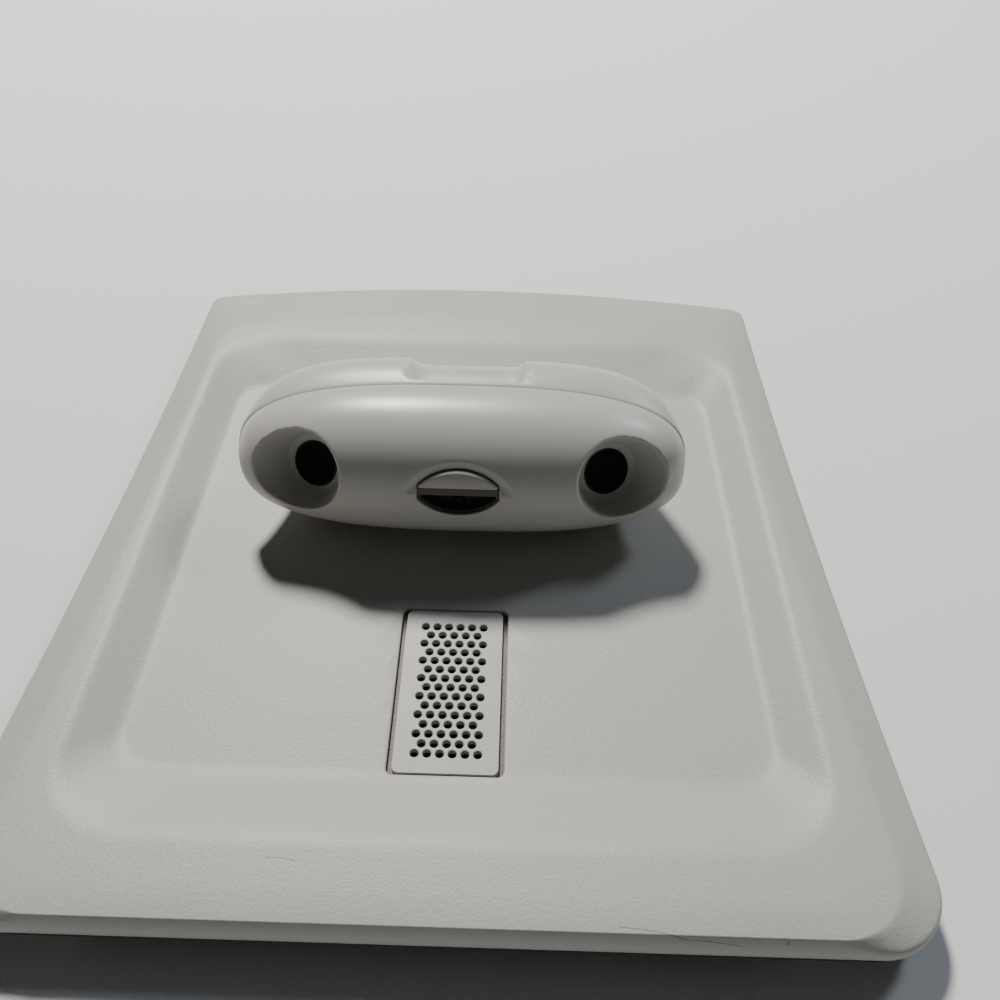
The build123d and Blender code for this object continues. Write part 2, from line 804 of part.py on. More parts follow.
for name, side in sides.items():
    with BuildPart() as can:
        with BuildSketch(well_plane(side, -can_length)):
            Circle(can_radius)
        extrude(amount=can_length)
        with BuildSketch(well_plane(side, -can_length)):
            Circle(can_radius - can_wall)
        extrude(amount=can_length, mode=Mode.SUBTRACT)
    save(can, f"transducer_can_{name}")

    with BuildPart() as mesh:
        with BuildSketch(well_plane(side, -mesh_inset - mesh_thickness)):
            Circle(can_radius - can_wall)
        extrude(amount=mesh_thickness)
    save(mesh, f"transducer_mesh_{name}")

    with BuildPart() as base:
        with BuildSketch(well_plane(side, -can_length)):
            Circle(can_radius - can_wall)
        extrude(amount=base_thickness)
    save(base, f"transducer_base_{name}")

    piezo_foot = base_thickness - can_length
    with BuildPart() as piezo:
        with BuildSketch(well_plane(side, piezo_foot)):
            Circle(piezo_post_radius)
        extrude(amount=piezo_post_height)
        with BuildSketch(well_plane(side, piezo_foot + piezo_post_height)):
            Circle(piezo_radius)
        extrude(amount=piezo_thickness)
    save(piezo, f"transducer_piezo_{name}")

    cone_foot = piezo_foot + piezo_post_height + piezo_thickness
    with BuildPart() as cone:
        with BuildSketch(well_plane(side, cone_foot)):
            Circle(cone_foot_radius)
        extrude(amount=cone_height, taper=-cone_taper)
        with BuildSketch(well_plane(side, cone_foot + cone_floor)):
            Circle(cone_foot_radius - cone_floor)
        extrude(amount=cone_height, taper=-cone_taper, mode=Mode.SUBTRACT)
    save(cone, f"transducer_cone_{name}")

    with BuildPart() as pins:
        with BuildSketch(well_plane(side, -can_length)):
            with GridLocations(2 * pin_half_spacing, 0, 2, 1):
                Circle(pin_radius)
        extrude(amount=-2 * can_length)
        split(bisect_by=board_front, keep=Keep.TOP)
    save(pins, f"transducer_pins_{name}")

    with BuildPart() as boot:
        with BuildSketch(well_plane(side, boot_bottom)):
            Circle(tube_inner_radius)
            Circle(can_radius, mode=Mode.SUBTRACT)
        extrude(amount=boot_length)
    save(boot, f"transducer_boot_{name}")


# ---------------------------------------------------------------- connector

header_bottom_z = floor_underside_z
header_roof_top_z = header_roof_z + header_roof_thickness

with BuildPart() as connector_header:
    with BuildSketch(Plane.XY.offset(header_bottom_z)):
        with Locations((0, header_y)):
            Rectangle(2 * header_half_x, 2 * header_half_y)
    extrude(amount=header_roof_top_z - header_bottom_z)
    with BuildSketch(Plane.XY.offset(foot_top_z)):
        with Locations((0, header_y)):
            Rectangle(2 * (header_half_x + header_flange), 2 * (header_half_y + header_flange))
    extrude(amount=header_flange_thickness)
    with BuildSketch(Plane.XY.offset(header_bottom_z)):
        with Locations((0, header_y)):
            Rectangle(2 * (header_half_x - header_wall), 2 * (header_half_y - header_wall))
    extrude(amount=header_roof_z - header_bottom_z, mode=Mode.SUBTRACT)
    with BuildSketch(Plane.XY.offset(header_roof_z)):
        with Locations((0, header_y)):
            with GridLocations(pin_pitch, 0, pin_count, 1):
                Rectangle(pin_size, pin_size)
    extrude(amount=header_roof_thickness, mode=Mode.SUBTRACT)
save(connector_header, "connector_header")

with BuildPart() as connector_pins:
    with BuildSketch(Plane.XY.offset(pin_tip_z)):
        with Locations((0, header_y)):
            with GridLocations(pin_pitch, 0, pin_count, 1):
                Rectangle(pin_size, pin_size)
    extrude(amount=pin_bend_z - pin_tip_z)
    with BuildSketch(Plane.XY.offset(pin_bend_z - pin_size)):
        with Locations((0, header_y / 2 + pin_size / 4)):
            with GridLocations(pin_pitch, 0, pin_count, 1):
                Rectangle(pin_size, header_y + pin_size / 2)
    extrude(amount=pin_size)
    split(bisect_by=board_back, keep=Keep.BOTTOM)
save(connector_pins, "connector_pins")


# ---------------------------------------------------------------- microphone grille

with BuildPart() as grille_insert:
    with BuildSketch(Plane.XY.offset(ledge_z)):
        with Locations((0, grille_y)):
            RectangleRounded(2 * grille_plate_half_x, 2 * grille_plate_half_y, grille_corner_radius)
    extrude(amount=grille_plate_thickness)
    fillet(grille_insert.faces().sort_by(Axis.Z)[-1].edges(), grille_edge_radius)
    row_pitch = hole_pitch * sin(radians(60))
    with BuildSketch(Plane.XY.offset(ledge_z)):
        for row in range(hole_rows):
            holes_in_row = hole_columns - row % 2
            row_y = grille_y + (row - (hole_rows - 1) / 2) * row_pitch
            with Locations((0, row_y)):
                with GridLocations(hole_pitch, 0, holes_in_row, 1):
                    Circle(hole_radius)
    extrude(amount=grille_plate_thickness, mode=Mode.SUBTRACT)
save(grille_insert, "grille_insert")

with BuildPart() as acoustic_felt:
    with BuildSketch(Plane.XY.offset(ledge_z - felt_thickness)):
        with Locations((0, grille_y)):
            Rectangle(2 * window_half_x, 2 * window_half_y)
    extrude(amount=felt_thickness)
save(acoustic_felt, "acoustic_felt")

holder_bottom_z = floor_underside_z - holder_depth
holder_floor_z = holder_bottom_z + holder_wall

with BuildPart() as microphone_holder:
    with BuildSketch(Plane.XY.offset(holder_bottom_z)):
        with Locations((0, grille_y)):
            Rectangle(2 * (window_half_x + holder_wall), 2 * (window_half_y + holder_wall))
    extrude(amount=holder_depth)
    with BuildSketch(Plane.XY.offset(floor_underside_z - holder_ear_thickness)):
        with Locations((0, grille_y)):
            SlotOverall(2 * (holder_post_y + holder_ear_radius), 2 * holder_ear_radius, rotation=90)
    extrude(amount=holder_ear_thickness)
    with BuildSketch(Plane.XY.offset(holder_floor_z)):
        with Locations((0, grille_y)):
            Rectangle(2 * window_half_x, 2 * window_half_y)
    extrude(amount=holder_depth, mode=Mode.SUBTRACT)
    with BuildSketch(Plane.XY.offset(holder_bottom_z)):
        with Locations(*holder_screw_points):
            Circle(holder_screw_radius + holder_screw_clearance)
        with Locations((0, grille_y)):
            with GridLocations(2 * microphone_pin_half_spacing, 0, 2, 1):
                Circle(microphone_pin_radius)
    extrude(amount=holder_depth, mode=Mode.SUBTRACT)
save(microphone_holder, "microphone_holder")

with BuildPart() as holder_screws:
    with BuildSketch(Plane.XY.offset(floor_underside_z - holder_ear_thickness)):
        with Locations(*holder_screw_points):
            Circle(holder_screw_radius)
    extrude(amount=holder_ear_thickness + holder_screw_bite)
    with BuildSketch(Plane.XY.offset(floor_underside_z - holder_ear_thickness - holder_screw_head_height)):
        with Locations(*holder_screw_points):
            Circle(holder_screw_head_radius)
    extrude(amount=holder_screw_head_height)
save(holder_screws, "holder_screws")

with BuildPart() as microphone_capsule:
    with BuildSketch(Plane.XY.offset(holder_floor_z)):
        with Locations((0, grille_y)):
            Circle(microphone_radius)
    extrude(amount=microphone_height)
save(microphone_capsule, "microphone_capsule")

with BuildPart() as microphone_ring:
    with BuildSketch(Plane.XY.offset(holder_floor_z)):
        with Locations((0, grille_y)):
            Circle(microphone_radius + microphone_ring_wall)
            Circle(microphone_radius, mode=Mode.SUBTRACT)
    extrude(amount=microphone_height)
save(microphone_ring, "microphone_ring")

with BuildPart() as microphone_pins:
    with BuildSketch(Plane.XY.offset(microphone_pin_tip_z)):
        with Locations((0, grille_y)):
            with GridLocations(2 * microphone_pin_half_spacing, 0, 2, 1):
                Circle(microphone_pin_radius)
    extrude(amount=holder_floor_z - microphone_pin_tip_z)
save(microphone_pins, "microphone_pins")
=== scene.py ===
import math

import bmesh
import bpy
import numpy as np
from mathutils import Matrix, Vector


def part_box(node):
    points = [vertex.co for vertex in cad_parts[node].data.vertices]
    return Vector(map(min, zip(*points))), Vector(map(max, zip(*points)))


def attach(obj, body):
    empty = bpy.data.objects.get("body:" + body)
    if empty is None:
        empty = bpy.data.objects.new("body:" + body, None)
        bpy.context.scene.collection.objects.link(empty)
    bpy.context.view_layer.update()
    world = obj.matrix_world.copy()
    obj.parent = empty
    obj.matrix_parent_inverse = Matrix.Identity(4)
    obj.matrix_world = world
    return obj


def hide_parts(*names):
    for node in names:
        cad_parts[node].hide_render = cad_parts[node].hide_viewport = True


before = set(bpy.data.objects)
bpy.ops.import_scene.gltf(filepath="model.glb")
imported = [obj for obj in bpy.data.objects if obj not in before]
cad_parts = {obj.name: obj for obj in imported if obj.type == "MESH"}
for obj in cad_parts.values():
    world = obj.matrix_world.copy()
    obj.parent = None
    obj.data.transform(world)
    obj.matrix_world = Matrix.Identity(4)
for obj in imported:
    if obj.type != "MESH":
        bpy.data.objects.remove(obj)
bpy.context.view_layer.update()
MM = 0.001


# ---- CAMERA ----
# A wide phone-like lens held in front of the near edge and above it, looking down at the pod.
camera_data = bpy.data.cameras.new("camera")
camera_data.lens = 36.0
camera_data.sensor_width = 36.0
camera_data.clip_start = 0.01
camera = bpy.data.objects.new("camera", camera_data)
camera.location = (0.01348, -0.18470, 0.22198)
camera.rotation_euler = (math.radians(42.912), math.radians(-0.657), math.radians(1.568))
bpy.context.collection.objects.link(camera)
bpy.context.scene.camera = camera


# ---- TABLE AND LIGHT ----
# A plain pale table under the panel, lit by a soft warm lamp beyond the far edge and to the left,
# and a weaker bluish one overhead on the right. Both throw the pod's shadow towards the near edge.
table_mesh = bpy.data.meshes.new("table")
table_mesh.from_pydata([(-3, -3, 0), (3, -3, 0), (3, 5, 0), (-3, 5, 0)], [], [(0, 1, 2, 3)])
table = bpy.data.objects.new("table", table_mesh)
bpy.context.collection.objects.link(table)
table_finish = bpy.data.materials.new("table_paint")
table_finish.use_nodes = True
table_shader = table_finish.node_tree.nodes["Principled BSDF"]
table_shader.inputs["Base Color"].default_value = (0.90, 0.90, 0.90, 1)
table_shader.inputs["Roughness"].default_value = 0.9
table_mesh.materials.append(table_finish)

world = bpy.data.worlds.new("room")
world.use_nodes = True
world.node_tree.nodes["Background"].inputs["Color"].default_value = (0.93, 0.95, 1.0, 1)
world.node_tree.nodes["Background"].inputs["Strength"].default_value = 0.05
bpy.context.scene.world = world

for lamp_name, place, size, power, colour in (
    ("warm_lamp", (-0.26, 0.84, 1.14), 0.20, 27.0, (1.0, 0.97, 0.92)),
    ("cool_lamp", (0.78, 0.62, 0.98), 0.26, 4.0, (0.80, 0.88, 1.0)),
):
    lamp_data = bpy.data.lights.new(lamp_name, "AREA")
    lamp_data.shape = "DISK"
    lamp_data.size = size
    lamp_data.energy = power
    lamp_data.color = colour
    lamp = bpy.data.objects.new(lamp_name, lamp_data)
    lamp.location = place
    lamp.rotation_euler = (Vector(place) - Vector((0, 0, 0.02))).to_track_quat("Z", "Y").to_euler()
    bpy.context.collection.objects.link(lamp)


# ---- TRIM PANEL ----
# The wide moulded panel, injection-moulded in a light warm-grey plastic with a fine leather grain. Its
# rim falls gently to a rounded outer edge, and inside the rim a shallow tray slopes down to a flat floor.
# Bosses and ribs stand on its hidden side; it is held up by four screws into inserts in the bosses.
panel_low, panel_high = (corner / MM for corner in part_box("trim_panel"))
grille_low, grille_high = (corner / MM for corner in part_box("grille_insert"))
rim_z = panel_high.z
far_y, near_y = panel_high.y, panel_low.y
floor_z = grille_high.z
panel_wall, floor_thickness, edge_drop, skirt_height = 2.2, 2.5, 3.0, 2.5
edge_z = rim_z - edge_drop
grille_y = (grille_low.y + grille_high.y) / 2


def finished(name, mesh, body, replaced=()):
    """Put a mesh made in millimetres into the scene in metres, riding on its body."""
    mesh.transform(Matrix.Scale(MM, 4))
    mesh.update()
    thing = bpy.data.objects.new(name, mesh)
    bpy.context.collection.objects.link(thing)
    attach(thing, body)
    if replaced:
        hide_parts(*replaced)
    return thing


def loops_mesh(name, loops, cap_start=True, cap_end=True):
    """A skin over closed loops of points in order, capped at both ends."""
    count = len(loops[0])
    points = [tuple(p) for loop in loops for p in loop]
    faces = []
    for k in range(len(loops) - 1):
        for i in range(count):
            j = (i + 1) % count
            faces.append((k * count + i, k * count + j, (k + 1) * count + j, (k + 1) * count + i))
    if cap_start:
        faces.append(tuple(reversed(range(count))))
    if cap_end:
        last = (len(loops) - 1) * count
        faces.append(tuple(range(last, last + count)))
    mesh = bpy.data.meshes.new(name)
    mesh.from_pydata(points, [], faces)
    outwards(mesh)
    return mesh


def outwards(mesh):
    """Turn all the faces of a closed mesh to face outwards."""
    work = bmesh.new()
    work.from_mesh(mesh)
    bmesh.ops.recalc_face_normals(work, faces=work.faces)
    if work.calc_volume(signed=True) < 0:
        bmesh.ops.reverse_faces(work, faces=work.faces)
    work.to_mesh(mesh)
    work.free()


def combined(mesh, other, operation):
    """The mesh joined with, cut by or kept inside another closed mesh."""
    first = bpy.data.objects.new("first", mesh)
    second = bpy.data.objects.new("second", other)
    bpy.context.collection.objects.link(first)
    bpy.context.collection.objects.link(second)
    step = first.modifiers.new("step", "BOOLEAN")
    step.operation = operation
    step.solver = "EXACT"
    step.object = second
    made = applied(first)
    bpy.data.objects.remove(second)
    return made


def applied(thing):
    """The object's mesh with its modifiers worked in. The object itself is thrown away."""
    bpy.context.view_layer.update()
    graph = bpy.context.evaluated_depsgraph_get()
    made = bpy.data.meshes.new_from_object(thing.evaluated_get(graph))
    bpy.data.objects.remove(thing)
    return made


def rod(centre, radius, low, high, steps=48):
    """A plain upright cylinder, or a tapering one if the radius is a pair."""
    low_radius, high_radius = radius if isinstance(radius, tuple) else (radius, radius)
    turns = [2 * math.pi * i / steps for i in range(steps)]
    loops = [
        [(centre[0] + r * math.cos(t), centre[1] + r * math.sin(t), z) for t in turns]
        for r, z in ((low_radius, low), (high_radius, high))
    ]
    return loops_mesh("rod", loops)


def block(low, high):
    """A plain box between two corners."""
    corners = [(low[0], low[1]), (high[0], low[1]), (high[0], high[1]), (low[0], high[1])]
    return loops_mesh("block", [[(x, y, z) for x, y in corners] for z in (low[2], high[2])])


def rounded_outline(sides, radii):
    """One closed outline from its sides in order, with the corner after each side rounded."""
    pieces = [np.array(side, float) for side in sides]
    count = len(pieces)
    reach = []
    arcs = []
    for k in range(count):
        before, after = pieces[k], pieces[(k + 1) % count]
        corner = before[-1]
        back = (before[-2] - corner) / np.linalg.norm(before[-2] - corner)
        on = (after[1] - corner) / np.linalg.norm(after[1] - corner)
        half = math.acos(float(np.clip(back @ on, -1, 1))) / 2
        length = radii[k] / math.tan(half)
        middle = (back + on) / np.linalg.norm(back + on)
        centre = corner + middle * radii[k] / math.sin(half)
        start = corner + back * length - centre
        end = corner + on * length - centre
        sweep = math.pi - 2 * half
        arc = [
            centre + (math.sin((1 - s) * sweep) * start + math.sin(s * sweep) * end) / math.sin(sweep)
            for s in np.linspace(0, 1, 25)
        ]
        reach.append(length)
        arcs.append(np.array(arc))
    outline = []
    for k in range(count):
        side = pieces[k]
        from_start = np.linalg.norm(side - side[0], axis=1)
        from_end = np.linalg.norm(side - side[-1], axis=1)
        keep = (from_start > reach[k - 1]) & (from_end > reach[k])
        outline += [side[keep], arcs[k]]
    return np.concatenate(outline)


def panel_outline(far_inset, side_inset, near_inset, far_radius, near_radius):
    """The panel's outline drawn in by an inset: flared sides, a bowed far edge, a straight near edge."""
    far_half, middle_half, near_half, bow = 92.5, 98.6, 109.0, 8.0
    top = far_y - bow - far_inset
    bottom = near_y + near_inset
    y = np.linspace(top, bottom, 400)
    t = (far_y - bow - y) / (far_y - bow - near_y)
    rise = middle_half - (far_half + near_half) / 2
    half = far_half + (near_half - far_half) * t + 4 * rise * t * (1 - t) - side_inset
    x = np.linspace(-half[0], half[0], 300)
    far_side = np.stack([x, top + bow * (1 - (x / half[0]) ** 2)], 1)
    right_side = np.stack([half, y], 1)
    near_side = np.stack([np.linspace(half[-1], -half[-1], 300), np.full(300, bottom)], 1)
    left_side = np.stack([-half[::-1], y[::-1]], 1)
    sides = [far_side, right_side, near_side, left_side]
    return rounded_outline(sides, (far_radius, near_radius, near_radius, far_radius))


def tray_outline(far, near, far_half, near_half, radius):
    """The outline of the tray's floor or of its mouth, a little wider at its near edge."""
    corners = [(-far_half, far), (far_half, far), (near_half, near), (-near_half, near)]
    sides = [np.linspace(corners[k], corners[(k + 1) % 4], 200) for k in range(4)]
    return rounded_outline(sides, (radius,) * 4)


tray_middle = np.array((0.0, -6.0))


def reach_of(outline, turns):
    """How far an outline is from the middle of the tray, in each direction."""
    arms = outline - tray_middle
    angle = np.arctan2(arms[:, 1], arms[:, 0])
    order = np.argsort(angle)
    angle, length = angle[order], np.linalg.norm(arms, axis=1)[order]
    angle = np.concatenate([angle[-4:] - 2 * np.pi, angle, angle[:4] + 2 * np.pi])
    length = np.concatenate([length[-4:], length, length[:4]])
    return np.interp(turns, angle, length)


edge = panel_outline(0, 0, 0, 4, 15)
steps_along = np.linalg.norm(np.roll(edge, -1, 0) - edge, axis=1)
along = np.concatenate([[0], np.cumsum(steps_along)])
closed_edge = np.vstack([edge, edge[:1]])
spaced = np.linspace(0, along[-1], 641)[:-1]
on_edge = np.stack([np.interp(spaced, along, closed_edge[:, a]) for a in (0, 1)], 1) - tray_middle
turns = np.sort(np.arctan2(on_edge[:, 1], on_edge[:, 0]))
edge_reach = reach_of(edge, turns)
crest_reach = reach_of(panel_outline(21, 10, 2, 14, 14), turns)
mouth_reach = reach_of(tray_outline(83, -95.5, 83.5, 90, 19), turns)
floor_reach = reach_of(tray_outline(58.5, -72.5, 73, 76.5, 9), turns)
lip_radius = 1.1
mouth_reach = np.minimum(mouth_reach, crest_reach - 0.8)


def ring(reach, z):
    """One loop of points round the tray at a given reach and height."""
    x = tray_middle[0] + reach * np.cos(turns)
    y = tray_middle[1] + reach * np.sin(turns)
    return np.stack([x, y, np.broadcast_to(z, reach.shape)], 1)


def rim_height(reach):
    """Height of the rim between the outer edge and the crest, which it reaches level."""
    fall = np.clip((reach - crest_reach) / (edge_reach - crest_reach), 0, 1)
    soft = 0.12
    return rim_z - edge_drop * (np.sqrt(fall**2 + soft**2) - soft) / (math.sqrt(1 + soft**2) - soft)


def eased(t, ends):
    """A straight ramp from 0 to 1 with both of its ends eased."""
    if t < ends:
        return t * t / (2 * ends * (1 - ends))
    if t > 1 - ends:
        return 1 - (1 - t) ** 2 / (2 * ends * (1 - ends))
    return (t - ends / 2) / (1 - ends)


loops = [ring(edge_reach, edge_z - skirt_height), ring(edge_reach, edge_z - lip_radius)]
for lift in (15, 30, 45, 60, 75, 90):
    angle = math.radians(lift)
    inset = lip_radius * (1 - math.cos(angle))
    reach = reach_of(panel_outline(inset, inset, inset, 4, 15 - inset), turns)
    loops.append(ring(reach, rim_height(reach) - lip_radius * (1 - math.sin(angle))))
lip_reach = reach_of(panel_outline(lip_radius, lip_radius, lip_radius, 4, 15 - lip_radius), turns)
for t in np.linspace(0, 1, 13)[1:]:
    reach = lip_reach + (crest_reach - lip_reach) * t
    loops.append(ring(reach, rim_height(reach)))
loops.append(ring((crest_reach + mouth_reach) / 2, rim_z))
for t in np.linspace(0, 1, 19):
    reach = mouth_reach + (floor_reach - mouth_reach) * t
    loops.append(ring(reach, rim_z - (rim_z - floor_z) * eased(t, 0.24)))
for share in (0.97, 0.9, 0.8, 0.66, 0.5, 0.3, 0.1):
    loops.append(ring(floor_reach * share, floor_z))
for share in (0.1, 0.5, 0.9):
    loops.append(ring(floor_reach * share, floor_z - floor_thickness))
loops.append(ring(floor_reach + 0.6, floor_z - floor_thickness))
loops.append(ring(mouth_reach + 0.6, rim_z - floor_thickness))
inner_reach = reach_of(panel_outline(panel_wall, panel_wall, panel_wall, 4, 15 - panel_wall), turns)
for t in np.linspace(0, 1, 5):
    reach = crest_reach + (inner_reach - crest_reach) * t
    loops.append(ring(reach, rim_z - panel_wall - edge_drop * t))
loops.append(ring(inner_reach, edge_z - skirt_height))
rounds = len(turns)
points = [tuple(p) for loop in loops for p in loop]
faces = []
inner_top = next(k for k in range(len(loops)) if np.allclose(loops[k], ring(floor_reach * 0.1, floor_z)))
for k in range(len(loops)):
    if k == inner_top:
        continue
    after = (k + 1) % len(loops)
    for i in range(rounds):
        j = (i + 1) % rounds
        faces.append((k * rounds + i, k * rounds + j, after * rounds + j, after * rounds + i))
faces.append(tuple(range(inner_top * rounds, (inner_top + 1) * rounds)))
faces.append(tuple(reversed(range((inner_top + 1) * rounds, (inner_top + 2) * rounds))))
panel = bpy.data.meshes.new("trim_panel")
panel.from_pydata(points, [], faces)
outwards(panel)

bosses = [(x, y) for x in (-78.0, 78.0) for y in (-102.5, 96.5)]
for place in bosses:
    panel = combined(panel, rod(place, 4.6, 0, rim_z - panel_wall + 0.4), "UNION")
for x in (-56.0, -20.0, 20.0, 56.0):
    panel = combined(panel, block((x - 0.8, -66.5, 4.5), (x + 0.8, 52.5, 6.8)), "UNION")
for place in bosses:
    panel = combined(panel, rod(place, 2.8, -1, 6), "DIFFERENCE")
    panel = combined(panel, rod(place, 1.65, 5, 9), "DIFFERENCE")
opening = block((-11.15, 17.35, 3), (11.15, 26.65, 12))
panel = combined(panel, opening, "DIFFERENCE")
for x in (-30.0, 30.0):
    for y in (13.0, 32.5):
        panel = combined(panel, rod((x, y), 1.55, 3, 12), "DIFFERENCE")


def plate_outline(half_x, half_y, radius, grow=0.0):
    """A rounded oblong round the grille's centre, grown by an amount."""
    corners = [(-1, 1), (1, 1), (1, -1), (-1, -1)]
    corners = [(sx * (half_x + grow), grille_y + sy * (half_y + grow)) for sx, sy in corners]
    sides = [np.linspace(corners[k], corners[(k + 1) % 4], 12) for k in range(4)]
    return rounded_outline(sides, (radius + grow,) * 4)


# the slot for the grille plate, its edge slightly rounded over
ledge_z = grille_low.z
slot_profile = (
    (0.0, ledge_z),
    (0.0, floor_z - 0.35),
    (0.05, floor_z - 0.18),
    (0.16, floor_z - 0.06),
    (0.34, floor_z),
    (0.9, floor_z + 0.4),
)
slot_loops = [[(x, y, z) for x, y in plate_outline(13.75, 23.7, 1.6, grow)] for grow, z in slot_profile]
panel = combined(panel, loops_mesh("slot", slot_loops), "DIFFERENCE")
panel = combined(panel, block((-10.25, grille_y - 21.0, 3), (10.25, grille_y + 21.0, 8)), "DIFFERENCE")
for face in panel.polygons:
    face.use_smooth = True
panel.set_sharp_from_angle(angle=math.radians(38))


def finish_of(name, colour, roughness, metallic=0.0):
    """A plain material and its shader, ready for more nodes."""
    material = bpy.data.materials.new(name)
    material.use_nodes = True
    shader = material.node_tree.nodes["Principled BSDF"]
    shader.inputs["Base Color"].default_value = (*colour, 1)
    shader.inputs["Roughness"].default_value = roughness
    shader.inputs["Metallic"].default_value = metallic
    return material, shader


panel_finish, shader = finish_of("grained_plastic", (0.50, 0.49, 0.455), 0.50)
nodes, links = panel_finish.node_tree.nodes, panel_finish.node_tree.links
place = nodes.new("ShaderNodeTexCoord")
pebbles = nodes.new("ShaderNodeTexVoronoi")
pebbles.feature = "SMOOTH_F1"
pebbles.inputs["Scale"].default_value = 1500.0
pebbles.inputs["Smoothness"].default_value = 0.5
creases = nodes.new("ShaderNodeTexNoise")
creases.inputs["Scale"].default_value = 760.0
creases.inputs["Detail"].default_value = 4.0
clouds = nodes.new("ShaderNodeTexNoise")
clouds.inputs["Scale"].default_value = 26.0
clouds.inputs["Detail"].default_value = 3.0
for texture in (pebbles, creases, clouds):
    links.new(place.outputs["Object"], texture.inputs["Vector"])
grain = nodes.new("ShaderNodeMath")
grain.operation = "MULTIPLY_ADD"
grain.inputs[1].default_value = 0.9
links.new(pebbles.outputs["Distance"], grain.inputs[0])
links.new(creases.outputs["Fac"], grain.inputs[2])
bump = nodes.new("ShaderNodeBump")
bump.inputs["Strength"].default_value = 0.42
bump.inputs["Distance"].default_value = 0.00012
links.new(grain.outputs["Value"], bump.inputs["Height"])
links.new(bump.outputs["Normal"], shader.inputs["Normal"])
tone = nodes.new("ShaderNodeMix")
tone.data_type = "RGBA"
tone.inputs["A"].default_value = (0.455, 0.452, 0.425, 1)
tone.inputs["B"].default_value = (0.51, 0.506, 0.475, 1)
links.new(clouds.outputs["Fac"], tone.inputs["Factor"])
# painted shade: a dark brown band at the ledge's height, down in the slot round the grille plate
split = nodes.new("ShaderNodeSeparateXYZ")
links.new(place.outputs["Object"], split.inputs["Vector"])
low = nodes.new("ShaderNodeMath")
low.operation = "LESS_THAN"
low.inputs[1].default_value = 0.0079
links.new(split.outputs["Z"], low.inputs[0])
beyond = nodes.new("ShaderNodeMath")
beyond.operation = "GREATER_THAN"
beyond.inputs[1].default_value = 0.0072
links.new(split.outputs["Z"], beyond.inputs[0])
ledge = nodes.new("ShaderNodeMath")
ledge.operation = "MULTIPLY"
links.new(low.outputs["Value"], ledge.inputs[0])
links.new(beyond.outputs["Value"], ledge.inputs[1])
slot_shade = nodes.new("ShaderNodeMix")
slot_shade.data_type = "RGBA"
slot_shade.inputs["B"].default_value = (0.15, 0.125, 0.09, 1)
links.new(ledge.outputs["Value"], slot_shade.inputs["Factor"])
links.new(tone.outputs["Result"], slot_shade.inputs["A"])


def maths_in(tree):
    """A function that adds one sum to a node tree, from numbers or other nodes' outputs."""

    def maths(operation, first, second=None):
        node = tree.nodes.new("ShaderNodeMath")
        node.operation = operation
        for k, value in enumerate((first, second)):
            if isinstance(value, (int, float)):
                node.inputs[k].default_value = value
            elif value is not None:
                tree.links.new(value, node.inputs[k])
        return node.outputs[0]

    return maths


marks_above = 0.0098


def hairline(tree, place, start, end, width, sag):
    """A mask that is 1 along a thin, slightly bowed scratch between two points seen from above."""
    maths = maths_in(tree)
    parts = tree.nodes.new("ShaderNodeSeparateXYZ")
    tree.links.new(place.outputs["Object"], parts.inputs["Vector"])
    run = Vector(end) - Vector(start)
    length = run.length
    ux, uy = run.x / length, run.y / length
    dx = maths("SUBTRACT", parts.outputs["X"], start[0])
    dy = maths("SUBTRACT", parts.outputs["Y"], start[1])
    along = maths("DIVIDE", maths("ADD", maths("MULTIPLY", dx, ux), maths("MULTIPLY", dy, uy)), length)
    across = maths("SUBTRACT", maths("MULTIPLY", dy, ux), maths("MULTIPLY", dx, uy))
    bow = maths("MULTIPLY", maths("MULTIPLY", along, maths("SUBTRACT", 1.0, along)), 4 * sag)
    off = maths("ABSOLUTE", maths("SUBTRACT", across, bow))
    inside = maths("MULTIPLY", maths("GREATER_THAN", along, 0.0), maths("LESS_THAN", along, 1.0))
    high = maths("GREATER_THAN", parts.outputs["Z"], marks_above)
    return maths("MULTIPLY", maths("MULTIPLY", maths("LESS_THAN", off, width), inside), high)


# light handling marks: hairline scratches along the near edge and a few specks
marked = slot_shade.outputs["Result"]
for start, end, width, sag in (
    ((0.0377, -0.1094), (0.0510, -0.1112), 0.00011, 0.0003),
    ((0.0510, -0.1112), (0.0629, -0.1118), 0.00007, 0.0001),
    ((-0.0363, -0.0973), (-0.0294, -0.0979), 0.00014, 0.0002),
    ((0.0971, -0.0502), (0.0975, -0.0502), 0.00022, 0.0),
    ((0.0718, -0.1112), (0.0723, -0.1112), 0.00025, 0.0),
):
    mark = nodes.new("ShaderNodeMix")
    mark.data_type = "RGBA"
    mark.inputs["B"].default_value = (0.30, 0.28, 0.25, 1)
    links.new(hairline(panel_finish.node_tree, place, start, end, width, sag), mark.inputs["Factor"])
    links.new(marked, mark.inputs["A"])
    marked = mark.outputs["Result"]
links.new(marked, shader.inputs["Base Color"])
panel.materials.clear()
panel.materials.append(panel_finish)
finished("trim_panel_skin", panel, "panel", ["trim_panel"])


# ---- EDGE SEAL ----
# A strip of dark closed-cell foam stuck under the panel's edge, so that it doesn't rattle on the headliner.
# Its near-black colour is also painted shade: it stands in for the shade under the panel's near edge.
seal_shade_finish, shader = finish_of("seal_foam_edge_shade", (0.035, 0.028, 0.022), 0.92)
nodes, links = seal_shade_finish.node_tree.nodes, seal_shade_finish.node_tree.links
place = nodes.new("ShaderNodeTexCoord")
cells = nodes.new("ShaderNodeTexVoronoi")
cells.inputs["Scale"].default_value = 2600.0
links.new(place.outputs["Object"], cells.inputs["Vector"])
bump = nodes.new("ShaderNodeBump")
bump.inputs["Strength"].default_value = 0.6
bump.inputs["Distance"].default_value = 0.0002
links.new(cells.outputs["Distance"], bump.inputs["Height"])
links.new(bump.outputs["Normal"], shader.inputs["Normal"])


def paint(node, finish):
    """Give a carried-over CAD node its finish."""
    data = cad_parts[node].data
    data.materials.clear()
    data.materials.append(finish)


